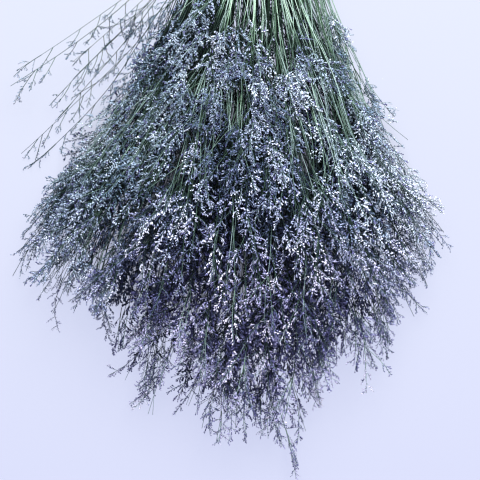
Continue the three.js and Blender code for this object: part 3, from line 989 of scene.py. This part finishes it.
def wood_mesh(name, who):
    vertices, faces, tone, along, cut, rides = [], [], [], [], [], []
    first = 0
    for kind, (paths, radii, sides, owners, least) in enumerate(WOOD_SETS):
        mine = owners == who
        points, parts, path, step = tubes(paths[mine], radii[mine], sides, start_caps=kind > 0)
        vertices.append(points)
        faces += [part + first for part in parts]
        tones = least[mine] + (1 - least[mine]) * rng.uniform(0, 1, mine.sum())
        mottles = rng.normal(0, MOTTLE, paths[mine].shape[:2])
        tone.append(tones[path] + mottles[path, step] + rng.normal(0, MOTTLE / 2, len(path)))
        thick = radii[mine].reshape(-1)[path * paths.shape[1] + step]
        along.append(1 - thick / (BUTT_DIAMETER / 2))
        cut.append(np.zeros(len(points)))
        rides.append(least[mine][path] > 0)
        first += len(points)
        if kind == 0:
            ends, parts, pale = cut_ends(points, sides)
            vertices.append(ends)
            faces += [part + first for part in parts]
            tone.append(np.full(len(ends), tones[0]))
            along.append(np.zeros(len(ends)))
            cut.append(pale)
            rides.append(np.zeros(len(ends)))
            first += len(ends)
    lists = (vertices, tone, along, cut, rides)
    vertices, tone, along, cut, rides = (np.concatenate(parts) for parts in lists)
    past_tie = smooth(*PAST_TIE, -vertices[:, 1])
    shade = wood_shade(vertices, tone, rides, who, past_tie)
    along = np.maximum(0, along - (1 - STRAY_THINNESS) * strays[who] * (1 - past_tie))
    vertices[:, 2] = np.maximum(vertices[:, 2], WOOD_CLEARANCE)
    v = np.where(cut > 0, CUT_STRIP[0] + CUT_STRIP[1] * cut, BARK_STRIP[0] + BARK_STRIP[1] * along)
    u = shade * SHADE_STRIP[0] + SHADE_STRIP[1] * (np.arange(len(shade)) % 3)
    uv = np.stack((u, v), axis=-1)
    return make_mesh(name, vertices, faces, {"shade": shade, "along": along, "cut": cut}, uv)


def new_material(name):
    material = bpy.data.materials.new(name)
    material.use_nodes = True
    tree = material.node_tree
    return material, tree.nodes, tree.links, tree.nodes["Principled BSDF"]


def read(nodes, name):
    node = nodes.new("ShaderNodeAttribute")
    node.attribute_name = name
    return node.outputs["Fac"]


def ramp(nodes, links, value, stops):
    node = nodes.new("ShaderNodeValToRGB")
    while len(node.color_ramp.elements) < len(stops):
        node.color_ramp.elements.new(0.5)
    for element, (place, colour) in zip(node.color_ramp.elements, stops):
        element.position = place
        element.color = (*colour, 1.0)
    links.new(value, node.inputs["Fac"])
    return node.outputs["Color"]


def mix(nodes, links, share, first, second, blend="MIX"):
    node = nodes.new("ShaderNodeMix")
    node.data_type = "RGBA"
    node.blend_type = blend
    for value, socket in ((share, node.inputs[0]), (first, node.inputs[6]), (second, node.inputs[7])):
        if isinstance(value, bpy.types.NodeSocket):
            links.new(value, socket)
        else:
            socket.default_value = value
    return node.outputs[2]


def grain_group():
    """Fine grain of dry plant matter, drawn out along the bunch: a relief and a roughness."""
    group = bpy.data.node_groups.new("dry_grain", "ShaderNodeTree")
    for name, value in (("Across", 900.0), ("Along", 120.0), ("Smoothest", 0.5), ("Roughest", 0.85)):
        socket = group.interface.new_socket(name, in_out="INPUT", socket_type="NodeSocketFloat")
        socket.default_value = value
    for name in ("Relief", "Roughness"):
        group.interface.new_socket(name, in_out="OUTPUT", socket_type="NodeSocketFloat")
    nodes, links = group.nodes, group.links
    given, result = nodes.new("NodeGroupInput"), nodes.new("NodeGroupOutput")
    place = nodes.new("ShaderNodeTexCoord")
    stretch = nodes.new("ShaderNodeCombineXYZ")
    for axis, name in zip("XYZ", ("Across", "Along", "Across")):
        links.new(given.outputs[name], stretch.inputs[axis])
    scaled = nodes.new("ShaderNodeVectorMath")
    scaled.operation = "MULTIPLY"
    links.new(place.outputs["Object"], scaled.inputs[0])
    links.new(stretch.outputs["Vector"], scaled.inputs[1])
    noise = nodes.new("ShaderNodeTexNoise")
    noise.inputs["Scale"].default_value = 1.0
    noise.inputs["Detail"].default_value = 3.0
    links.new(scaled.outputs["Vector"], noise.inputs["Vector"])
    spread = nodes.new("ShaderNodeMapRange")
    spread.inputs["From Min"].default_value = 0.3
    spread.inputs["From Max"].default_value = 0.7
    links.new(noise.outputs["Fac"], spread.inputs["Value"])
    links.new(given.outputs["Smoothest"], spread.inputs["To Min"])
    links.new(given.outputs["Roughest"], spread.inputs["To Max"])
    links.new(noise.outputs["Fac"], result.inputs["Relief"])
    links.new(spread.outputs["Result"], result.inputs["Roughness"])
    return group


dry_grain = grain_group()


def add_grain(nodes, links, shader, height, values):
    grain = nodes.new("ShaderNodeGroup")
    grain.node_tree = dry_grain
    for name, value in values.items():
        grain.inputs[name].default_value = value
    bump = nodes.new("ShaderNodeBump")
    bump.inputs["Distance"].default_value = height * MM
    bump.inputs["Strength"].default_value = 1.0
    links.new(grain.outputs["Relief"], bump.inputs["Height"])
    links.new(bump.outputs["Normal"], shader.inputs["Normal"])
    links.new(grain.outputs["Roughness"], shader.inputs["Roughness"])


def wood_material():
    material, nodes, links, shader = new_material("statice_stem")
    by_thickness = ramp(nodes, links, read(nodes, "along"), BARK_BY_THICKNESS)
    by_shade = ramp(nodes, links, read(nodes, "shade"), BARK_BY_SHADE)
    bark = mix(nodes, links, 1.0, by_thickness, by_shade, "MULTIPLY")
    cut = read(nodes, "cut")
    pith = ramp(nodes, links, cut, PITH)
    is_cut = ramp(nodes, links, cut, CUT_MASK)
    links.new(mix(nodes, links, is_cut, bark, pith), shader.inputs["Base Color"])
    add_grain(nodes, links, shader, BARK_RELIEF, BARK_GRAIN)
    shader.inputs["Specular IOR Level"].default_value = BARK_GLOSS
    return material


stem_wood = wood_material()
for who in range(stem_count):
    mesh = wood_mesh(f"stem_wood_{who + 1:02d}", who)
    mesh.materials.append(stem_wood)
    piece = bpy.data.objects.new(mesh.name, mesh)
    bpy.context.collection.objects.link(piece)
    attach(piece, "root")
    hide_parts(f"statice_stem_{who + 1:02d}")


# The spikelets: what is left of the flowers. Each is a small papery funnel, green grey at its narrow foot
# and pale lavender at its open mouth. Some have kept a dusky, shrivelled flower.

SPIKELET_LENGTH = 4.3
FOOT_RING = (0.45, 0.44)  # how far along, and how wide
MOUTH_RING = (1.0, 0.95)
THROAT = 0.8
UNEVEN_MOUTH = (0.75, 1.15)
FUNNEL_CLEARANCE = 0.3  # above the surface that the bunch lies on
# Funnels near the outside have a foot, two rings of three and a throat. Hidden ones leave out a ring.
FULL = {
    "faces": (
        ((0, 2, 1), (0, 3, 2), (0, 1, 3)),
        ((1, 2, 5, 4), (2, 3, 6, 5), (3, 1, 4, 6)),
        ((4, 5, 7), (5, 6, 7), (6, 4, 7)),
    ),
    "along": (0.0, 0.4, 0.4, 0.4, 0.85, 0.85, 0.85, 1.0),
    "width": (0.5, 0.0, 0.5, 1.0, 0.0, 0.5, 1.0, 0.5),
    "rings": (FOOT_RING, MOUTH_RING),
}
PLAIN = {
    "faces": (((0, 2, 1), (0, 3, 2), (0, 1, 3)), ((1, 2, 4), (2, 3, 4), (3, 1, 4))),
    "along": (0.0, 0.85, 0.85, 0.85, 1.0),
    "width": (0.5, 0.0, 0.5, 1.0, 0.5),
    "rings": (MOUTH_RING,),
}
DEEP_FROM = 26.0  # deeper spikelets are fewer and larger
DEEP_SIZE = 1.6

MEAN_TONE = 0.585
TONE_SCATTER = 0.035
PATCHY = 0.32  # how much the tone changes from patch to patch
PATCH_SIZE = 46.0
PATCH_WAVES = (1.3, 2.1, 0.9, 1.1, 1.7, 1.2)
PATCHES = (  # clumps that dried paler or stayed darker: place across, station, half sizes, and how much
    (46.0, 310.0, 42.0, 75.0, 0.2),
    (150.0, 415.0, 44.0, 45.0, 0.24),
    (50.0, 435.0, 24.0, 24.0, -0.24),
    (-114.0, 515.0, 26.0, 24.0, -0.2),
    (-114.0, 350.0, 28.0, 28.0, -0.18),
    (-74.0, 395.0, 22.0, 26.0, 0.14),
    (-34.0, 475.0, 22.0, 24.0, 0.18),
    (-34.0, 515.0, 24.0, 20.0, -0.2),
    (46.0, 515.0, 26.0, 30.0, 0.16),
    (86.0, 515.0, 22.0, 28.0, -0.2),
    (-74.0, 555.0, 40.0, 26.0, -0.12),
    (6.0, 555.0, 26.0, 36.0, 0.3),
    (-34.0, 395.0, 24.0, 26.0, -0.16),
)
PATCH_EDGE = (0.4, 1.4)
DUSKY_SHARE = 0.14  # of the spikelets, which have kept a dark flower
DUSKY_TONE = 0.25

OUTER_TONES = (0.24, 0.72)  # the darkest spikelet's shade at the surface, and how much paler the palest is
INNER_TONES = (0.165, 0.25)  # the same deep inside, where painted shade darkens them
PALEST = 0.9
SPIKELET_DARKENS = (3.0, 26.0)  # the depths over which painted shade takes them from one to the other
SPIKELETS_NEAR_TIE = 0.25  # how much depth counts near the tie
# Painted shade in the densest part of the head: depth counts more there, and the deep tone is darker.
CORE = (-12.0, 450.0, 105.0, 85.0)  # the densest part of the head: place across, station and half sizes
CORE_EDGE = (0.5, 1.5)
CORE_DEEPER = 0.15
CORE_DARKER = 0.32
UNDER_TIPS = (0.1, (430.0, 580.0), (3.0, 20.0))  # painted shade below the tips: how much darker, at which stations and depths
STRAY_SHADE = 0.55
# Painted shade at the head's neck, and painted light on its right and left sides:
NECK_SHADE = (0.1, (290.0, 350.0), -0.12, (0.08, 0.3))  # how much darker, to where, place across, how wide
LIGHT = 1.025
LIGHT_RIGHT = (0.115, 0.13, (0.0, 0.8), (465.0, 510.0))  # what a side adds, how much less further on, where
LIGHT_LEFT = (0.08, 0.07, (0.1, 0.8), (330.0, 380.0))

TINTS = 8
TINT_STRIP = (0.04, 0.86, 0.05)  # of the unwrapping: a strip for each tint, shade and width across it
ALONG_STRIP = (0.98, 0.01)

PURPLE = (
    (0.0, (0.010, 0.012, 0.028)),
    (0.2, (0.062, 0.064, 0.145)),
    (0.45, (0.235, 0.235, 0.42)),
    (0.7, (0.505, 0.48, 0.665)),
    (1.0, (0.82, 0.785, 0.875)),
)
GREEN_GREY = (
    (0.0, (0.010, 0.021, 0.028)),
    (0.2, (0.047, 0.074, 0.108)),
    (0.45, (0.178, 0.248, 0.332)),
    (0.7, (0.415, 0.495, 0.595)),
    (1.0, (0.74, 0.80, 0.87)),
)
FOOT_TO_THROAT = (
    (0.0, (0.18, 0.22, 0.24)),
    (0.35, (0.52, 0.57, 0.62)),
    (0.7, (1.0, 1.0, 1.0)),
    (0.9, (1.0, 1.0, 1.0)),
    (1.0, (0.30, 0.27, 0.48)),
)
PAPER_GRAIN = {"Across": 1500.0, "Along": 900.0, "Smoothest": 0.55, "Roughest": 0.9}
PAPER_RELIEF = 0.1
PAPER_GLOSS = 0.12


def patches(points):
    """Slow change of tone through the head: some sprays dried paler than others."""
    x, y, z = (points / PATCH_SIZE).T
    length, bend, bend_length, other_length, other_bend, other_bend_length = PATCH_WAVES
    first = np.sin(x * length + bend * np.sin(y * bend_length))
    second = np.sin(y * other_length + other_bend * np.sin(z * other_bend_length + x))
    return (first + second + np.sin(z + x - y)) / 3


def spikelet_tones(spikelets):
    """How pale the spikelets have dried: by spray, by patch of the head, and a little one by one."""
    points = spikelets["base"]
    scattered = rng.normal(0, TONE_SCATTER, len(points))
    tone = MEAN_TONE + PATCHY * patches(points) + spikelets["tone"] + scattered
    for place, station, half_width, half_length, change in PATCHES:
        away = np.hypot((points[:, 0] - place) / half_width, (-points[:, 1] - station) / half_length)
        tone += change * (1 - smooth(*PATCH_EDGE, away))
    return np.clip(tone, 0, 1)


def light_on_side(side, out, station):
    most, less, between, stations = side
    return smooth(*between, out) * (most - less * smooth(*stations, station))


def spikelet_shades(points, depth, tone, is_stray):
    """How light the spikelets are: their tones, painted shade inside the head and painted light at its sides.
    """
    station = -points[:, 1]
    out_right = points[:, 0] / HEAD_HALF_WIDTH
    place, middle, half_width, half_length = CORE
    from_core = np.hypot((points[:, 0] - place) / half_width, (station - middle) / half_length)
    in_core = 1 - smooth(*CORE_EDGE, from_core)
    deeper = 1 + CORE_DEEPER * in_core
    outer = 1 - smooth(*SPIKELET_DARKENS, gloom(points, SPIKELETS_NEAR_TIE) * deeper)
    darker, tips, depths = UNDER_TIPS
    outer *= 1 - darker * smooth(*tips, station) * smooth(*depths, depth)
    outer *= np.where(is_stray, STRAY_SHADE, 1.0)
    inner = (INNER_TONES[0] + INNER_TONES[1] * tone) * (1 - CORE_DARKER * in_core)
    darker, neck, place, beside = NECK_SHADE
    at_neck = (1 - smooth(*neck, station)) * (1 - smooth(*beside, np.abs(out_right - place)))
    light = LIGHT + light_on_side(LIGHT_RIGHT, out_right, station)
    light = light + light_on_side(LIGHT_LEFT, -out_right, station) - darker * at_neck
    shade = (OUTER_TONES[0] + OUTER_TONES[1] * tone) * outer + inner * (1 - outer)
    return np.minimum(PALEST, shade * light)


depth = depth_of(spikelets["base"])
deep = depth > DEEP_FROM
spikelets["size"] *= np.where(deep, DEEP_SIZE, 1.0)
kept = ~deep | (np.arange(len(depth)) % 2 == 0)
spikelets, depth = pick(spikelets, kept), depth[kept]
tone = spikelet_tones(spikelets)
dusky = rng.uniform(0, 1, len(depth)) < DUSKY_SHARE
tone = np.where(dusky, DUSKY_TONE * tone, tone)
spikelets["shade"] = spikelet_shades(spikelets["base"], depth, tone, strays[spikelets["who"]])
spikelets["tint"] = np.where(dusky, 1.0, np.round(spikelets["tint"] * (TINTS - 1)) / (TINTS - 1))
spikelets["hidden"] = depth > HIDDEN_FROM


def funnels(mine, form):
    """Funnels of one form: vertices, faces, and for each vertex its values."""
    count = len(mine["size"])
    forward = mine["direction"]
    side = unit(np.cross((0.0, 0.0, 1.0), forward))
    over = np.cross(forward, side)
    roll = rng.uniform(0, 2 * math.pi, count)[:, None] + 2 * math.pi * np.arange(3) / 3
    around = np.cos(roll)[..., None] * side[:, None] + np.sin(roll)[..., None] * over[:, None]
    size = mine["size"][:, None]
    width = size * rng.uniform(*UNEVEN_MOUTH, (count, 3))
    long_way = forward * size * SPIKELET_LENGTH
    foot = mine["base"][:, None]
    rings = []
    for t, radius in form["rings"]:
        rings.append(foot + (long_way * t)[:, None] + around * (width * radius)[..., None])
    throat = foot + (long_way * THROAT)[:, None]
    vertices = np.concatenate((foot, *rings, throat), axis=1)
    vertices[..., 2] += np.maximum(0, FUNNEL_CLEARANCE - vertices[..., 2].min(axis=1))[:, None]
    per_funnel = vertices.shape[1]
    first = np.arange(count)[:, None, None] * per_funnel
    faces = [(first + np.array(part)).reshape(-1, len(part[0])) for part in form["faces"]]
    shade, tint = (np.repeat(mine[key], per_funnel) for key in ("shade", "tint"))
    along, width = (np.tile(np.array(form[key]), count) for key in ("along", "width"))
    return vertices.reshape(-1, 3), faces, np.stack((shade, tint, along, width))


def spikelet_mesh(name, who):
    mine = pick(spikelets, spikelets["who"] == who)
    near = funnels(pick(mine, ~mine["hidden"]), FULL)
    far = funnels(pick(mine, mine["hidden"]), PLAIN)
    vertices = np.concatenate((near[0], far[0]))
    faces = near[1] + [part + len(near[0]) for part in far[1]]
    shade, tint, along, width = np.concatenate((near[2], far[2]), axis=1)
    margin, by_shade, by_width = TINT_STRIP
    strip = tint * (TINTS - 1) + margin + by_shade * shade + by_width * width
    uv = np.stack((strip / TINTS, along * ALONG_STRIP[0] + ALONG_STRIP[1]), axis=-1)
    return make_mesh(name, vertices, faces, {"shade": shade, "tint": tint, "along": along}, uv)


def spikelet_material():
    material, nodes, links, shader = new_material("statice_spikelet")
    shade = read(nodes, "shade")
    purple = ramp(nodes, links, shade, PURPLE)
    green = ramp(nodes, links, shade, GREEN_GREY)
    paper = mix(nodes, links, read(nodes, "tint"), green, purple)
    part = ramp(nodes, links, read(nodes, "along"), FOOT_TO_THROAT)
    links.new(mix(nodes, links, 1.0, paper, part, "MULTIPLY"), shader.inputs["Base Color"])
    add_grain(nodes, links, shader, PAPER_RELIEF, PAPER_GRAIN)
    shader.inputs["Specular IOR Level"].default_value = PAPER_GLOSS
    return material


spikelet_paper = spikelet_material()
for who in range(stem_count):
    mesh = spikelet_mesh(f"spikelets_{who + 1:02d}", who)
    mesh.materials.append(spikelet_paper)
    piece = bpy.data.objects.new(mesh.name, mesh)
    bpy.context.collection.objects.link(piece)
    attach(piece, "root")
    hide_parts(f"statice_stem_{who + 1:02d}")


# The tie: a natural two-ply twine, wound in one layer of turns. Its end is led slantwise over the turns
# and tucked in under them. Short loose fibres stand out of it.

PLY_RADIUS = 0.62
PLY_OFFSET = 0.5  # from the middle of the twine to the middle of each ply
PLY_SIDES = 7
TWIST_LENGTH = 5.2
TWIST_STEPS = 9
TWINE_TURNS = 5
TURN_PITCH = 2.05
OVER_TURNS = 2.3  # the angle, in radians, over which the end crosses the turns
OVER_RISE = 1.9
OVER_RISES = (0, 0.2)  # the shares of its way over which it climbs, and over which it goes in again
OVER_SINKS = (0.8, 1)
OVER_PAST = 1.5  # how far past the first turn it goes in
TUCKED_END = 1.6
TUCKED_START = 1.2
START_RISES = (0, 0.25)
LONGEST_TWINE = 500.0  # more than the twine's own length, for what varies along it
LUMP_SPACING = 2.2
LUMPS = (0.9, 1.1)
STAIN_SPACING = 6.0
STAINS = (-0.16, 0.16)
GROOVE_PAINTED_SHADE = 0.15  # painted shade: how light the grooves between the plies are, and how much lighter the plies' outsides
OUT_OF_GROOVE = (0.6, (0.35, 1.0))
STRAND_STEPS = 6

FIBRES = 220
FIBRE_RADIUS = 0.05
FIBRE_STEPS = 4
FIBRE_SIDES = 3
FIBRE_LENGTHS = (1.0, 3.6)
FIBRE_LEAN = 0.75
FIBRE_CURL = 0.5
FIBRE_SHADE = 0.9
TWINE_CLEARANCE = 0.05  # above the surface that the bunch lies on
TWINE_STRIP = (0.02, 0.96)  # of the unwrapping: shade one way and strand the other
ALONG_BUNCH = (0.0, 1.0, 0.0)

TWINE_BY_SHADE = (
    (0.0, (0.085, 0.055, 0.026)),
    (0.45, (0.29, 0.205, 0.105)),
    (1.0, (0.56, 0.44, 0.27)),
)
TWINE_BY_STRAND = ((0.0, (0.72, 0.70, 0.66)), (1.0, (1.22, 1.2, 1.14)))
FIBRE_GRAIN = {"Across": 2600.0, "Along": 1700.0, "Smoothest": 0.75, "Roughest": 0.98}
FIBRE_RELIEF = 0.25
FIBRE_GLOSS = 0.2


def twine_middle(share):
    """Points along the middle of the twine, their outward directions, and the lengths up to them."""
    winding = 2 * math.pi * TWINE_TURNS
    angle = share * (winding + OVER_TURNS)
    over = np.maximum(0, angle - winding) / OVER_TURNS
    along = TURN_PITCH * TWINE_TURNS * (np.minimum(angle, winding) / winding - 0.5)
    along -= (TURN_PITCH * TWINE_TURNS + OVER_PAST) * over
    radius = (tie_high[0] - tie_low[0]) / 2 / MM - PLY_RADIUS - PLY_OFFSET
    risen = OVER_RISE * smooth(*OVER_RISES, over)
    radius = radius + risen - (OVER_RISE + TUCKED_END) * smooth(*OVER_SINKS, over)
    radius = radius - TUCKED_START * (1 - smooth(*START_RISES, angle))
    turned = angle + math.pi / 2 - OVER_TURNS / 2
    out = np.stack((np.cos(turned), 0 * turned, np.sin(turned)), axis=-1)
    middle = out * radius[:, None]
    middle[:, 1] = -along
    middle[:, 2] += tie_middle[2]
    gone = np.concatenate(([0], np.cumsum(np.linalg.norm(np.diff(middle, axis=0), axis=-1))))
    return middle, out, gone


def vary(gone, spacing, between):
    """A value that wanders at random along the twine, between two values."""
    places = np.arange(0, LONGEST_TWINE, spacing)
    return np.interp(gone, places, rng.uniform(*between, len(places)))


def loose_fibres(middle, out):
    """Short curved hairs that stand out of the twine: vertices, faces and the hair of each vertex."""
    from_step = rng.integers(0, len(middle), FIBRES)
    lean = unit(out[from_step] + rng.normal(0, FIBRE_LEAN, (FIBRES, 3)))
    curl = rng.normal(0, FIBRE_CURL, (FIBRES, 3))
    t = np.linspace(0, 1, FIBRE_STEPS)[:, None] * rng.uniform(*FIBRE_LENGTHS, FIBRES)[:, None, None]
    hairs = (middle[from_step] + out[from_step])[:, None] + lean[:, None] * t + curl[:, None] * t * t / 4
    radii = np.linspace(FIBRE_RADIUS, FIBRE_RADIUS / 2, FIBRE_STEPS) * np.ones((FIBRES, 1))
    points, faces, hair, _ = tubes(hairs, radii, FIBRE_SIDES, across=ALONG_BUNCH)
    return points, faces, hair


def twine_mesh(name):
    steps = int((TWINE_TURNS + 0.5) * math.pi * (tie_high[0] - tie_low[0]) / MM / TWIST_LENGTH * TWIST_STEPS)
    middle, out, gone = twine_middle(np.linspace(0, 1, steps))
    beside = unit(np.cross(out, np.gradient(middle, axis=0)))
    twist = gone / TWIST_LENGTH * 2 * math.pi + np.array((0, math.pi))[:, None]
    plies = middle + PLY_OFFSET * (np.cos(twist)[..., None] * out + np.sin(twist)[..., None] * beside)
    lumps = vary(gone, LUMP_SPACING, LUMPS)
    radii = np.stack((lumps, lumps)) * PLY_RADIUS
    points, faces, _, step = tubes(plies, radii, PLY_SIDES, across=ALONG_BUNCH)
    # Painted shade in the grooves between the plies, with stains that vary along the twine.
    out_of_groove = np.linalg.norm(points - middle[step], axis=-1) / (PLY_RADIUS + PLY_OFFSET)
    patchy = vary(gone, STAIN_SPACING, STAINS)[step]
    lighter, between = OUT_OF_GROOVE
    shade = np.clip(GROOVE_PAINTED_SHADE + lighter * smooth(*between, out_of_groove) + patchy, 0, 1)
    strand = rng.uniform(0, 1, (2, steps // STRAND_STEPS + 1, PLY_SIDES))
    strand = strand.repeat(STRAND_STEPS, axis=1)[:, :steps].reshape(-1)
    hair_points, hair_faces, hair = loose_fibres(middle, out)
    vertices = np.concatenate((points, hair_points))
    vertices[:, 2] = np.maximum(vertices[:, 2], TWINE_CLEARANCE)
    shade = np.concatenate((shade, np.full(len(hair_points), FIBRE_SHADE)))
    strand = np.concatenate((strand, rng.uniform(0, 1, FIBRES)[hair]))
    margin, whole = TWINE_STRIP
    uv = np.stack((margin + whole * shade, margin + whole * strand), axis=-1)
    faces = faces + [part + len(points) for part in hair_faces]
    return make_mesh(name, vertices, faces, {"shade": shade, "strand": strand}, uv)


def twine_material():
    material, nodes, links, shader = new_material("twine_fibre")
    colour = ramp(nodes, links, read(nodes, "shade"), TWINE_BY_SHADE)
    strand = ramp(nodes, links, read(nodes, "strand"), TWINE_BY_STRAND)
    links.new(mix(nodes, links, 1.0, colour, strand, "MULTIPLY"), shader.inputs["Base Color"])
    add_grain(nodes, links, shader, FIBRE_RELIEF, FIBRE_GRAIN)
    shader.inputs["Specular IOR Level"].default_value = FIBRE_GLOSS
    return material


twine = twine_mesh("twine_wound")
twine.materials.append(twine_material())
piece = bpy.data.objects.new(twine.name, twine)
bpy.context.collection.objects.link(piece)
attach(piece, "root")
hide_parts("twine_tie")


# The floor and the light: a pale floor, one large soft light overhead and a pale sky all round. The floor
# glows faintly. Its glow is a little lighter towards the tie, as painted light, and dimmer under the head,
# as a painted shadow.

FLOOR_HALF = 30.0  # in metres, like the places of the light below
FLOOR_PAINT = (0.045, 0.044, 0.04, 1.0)
FLOOR_ROUGHNESS = 0.9
FLOOR_ALONG = (-0.4, 0.1)  # between which places, in metres, the glow changes: painted light, lighter towards the tie
FLOOR_GLOW = ((0.0, (0.74, 0.775, 1.0)), (1.0, (0.79, 0.834, 1.0)))
FLOOR_STRENGTH = ((0.3, (0.07, 0.07, 0.07)), (1.0, (0.795, 0.795, 0.795)))  # painted shadow: the glow under the head, and beside it
PAINTED_SHADOW_MIDDLE = np.array((-20.0, -410.0, 0.0))
PAINTED_SHADOW_HALF = np.array((192.0, 165.0, 1000.0))

LIGHT_SIZE = 1.4
LIGHT_POWER = 130.0
LIGHT_PLACE = Vector((0.2, 0.75, 2.1))
LIGHT_AIM = Vector((0.0, -0.1, 0.1))
SKY_COLOUR = (0.90, 0.93, 1.0, 1.0)
SKY_STRENGTH = 0.55
VIEW_GAMMA = 0.79
VIEW_EXPOSURE = 0.1
PIXEL_FILTER = 1.32


def floor_paint():
    material, nodes, links, shader = new_material("floor_paint")
    shader.inputs["Base Color"].default_value = FLOOR_PAINT
    shader.inputs["Roughness"].default_value = FLOOR_ROUGHNESS
    place = nodes.new("ShaderNodeTexCoord")
    split = nodes.new("ShaderNodeSeparateXYZ")
    links.new(place.outputs["Object"], split.inputs["Vector"])
    along_floor = nodes.new("ShaderNodeMapRange")
    along_floor.inputs["From Min"].default_value = FLOOR_ALONG[0]
    along_floor.inputs["From Max"].default_value = FLOOR_ALONG[1]
    links.new(split.outputs["Y"], along_floor.inputs["Value"])
    glow = ramp(nodes, links, along_floor.outputs["Result"], FLOOR_GLOW)
    links.new(glow, shader.inputs["Emission Color"])
    # The painted shadow: the glow is dimmed within an ellipse under the head.
    under_head = nodes.new("ShaderNodeVectorMath")
    under_head.operation = "SUBTRACT"
    under_head.inputs[1].default_value = tuple((FROM_TIE + PAINTED_SHADOW_MIDDLE) * MM)
    links.new(place.outputs["Object"], under_head.inputs[0])
    flattened = nodes.new("ShaderNodeVectorMath")
    flattened.operation = "DIVIDE"
    flattened.inputs[1].default_value = tuple(PAINTED_SHADOW_HALF * MM)
    links.new(under_head.outputs["Vector"], flattened.inputs[0])
    how_far = nodes.new("ShaderNodeVectorMath")
    how_far.operation = "LENGTH"
    links.new(flattened.outputs["Vector"], how_far.inputs[0])
    painted_shadow = ramp(nodes, links, how_far.outputs["Value"], FLOOR_STRENGTH)
    links.new(painted_shadow, shader.inputs["Emission Strength"])
    return material


floor_mesh = bpy.data.meshes.new("floor")
corners = [(x * FLOOR_HALF, y * FLOOR_HALF, 0) for x, y in ((-1, -1), (1, -1), (1, 1), (-1, 1))]
floor_mesh.from_pydata(corners, [], [(0, 1, 2, 3)])
floor_mesh.materials.append(floor_paint())
floor = bpy.data.objects.new("floor", floor_mesh)
bpy.context.collection.objects.link(floor)

light_data = bpy.data.lights.new("key", "AREA")
light_data.size = LIGHT_SIZE
light_data.energy = LIGHT_POWER
light = bpy.data.objects.new("key", light_data)
light.location = LIGHT_PLACE
light.rotation_euler = (LIGHT_AIM - LIGHT_PLACE).to_track_quat("-Z", "Y").to_euler()
bpy.context.collection.objects.link(light)

world = bpy.data.worlds.new("world")
world.use_nodes = True
sky = world.node_tree.nodes["Background"]
sky.inputs["Color"].default_value = SKY_COLOUR
sky.inputs["Strength"].default_value = SKY_STRENGTH
bpy.context.scene.world = world
bpy.context.scene.view_settings.view_transform = "Standard"
bpy.context.scene.view_settings.gamma = VIEW_GAMMA
bpy.context.scene.view_settings.exposure = VIEW_EXPOSURE
bpy.context.scene.cycles.filter_width = PIXEL_FILTER
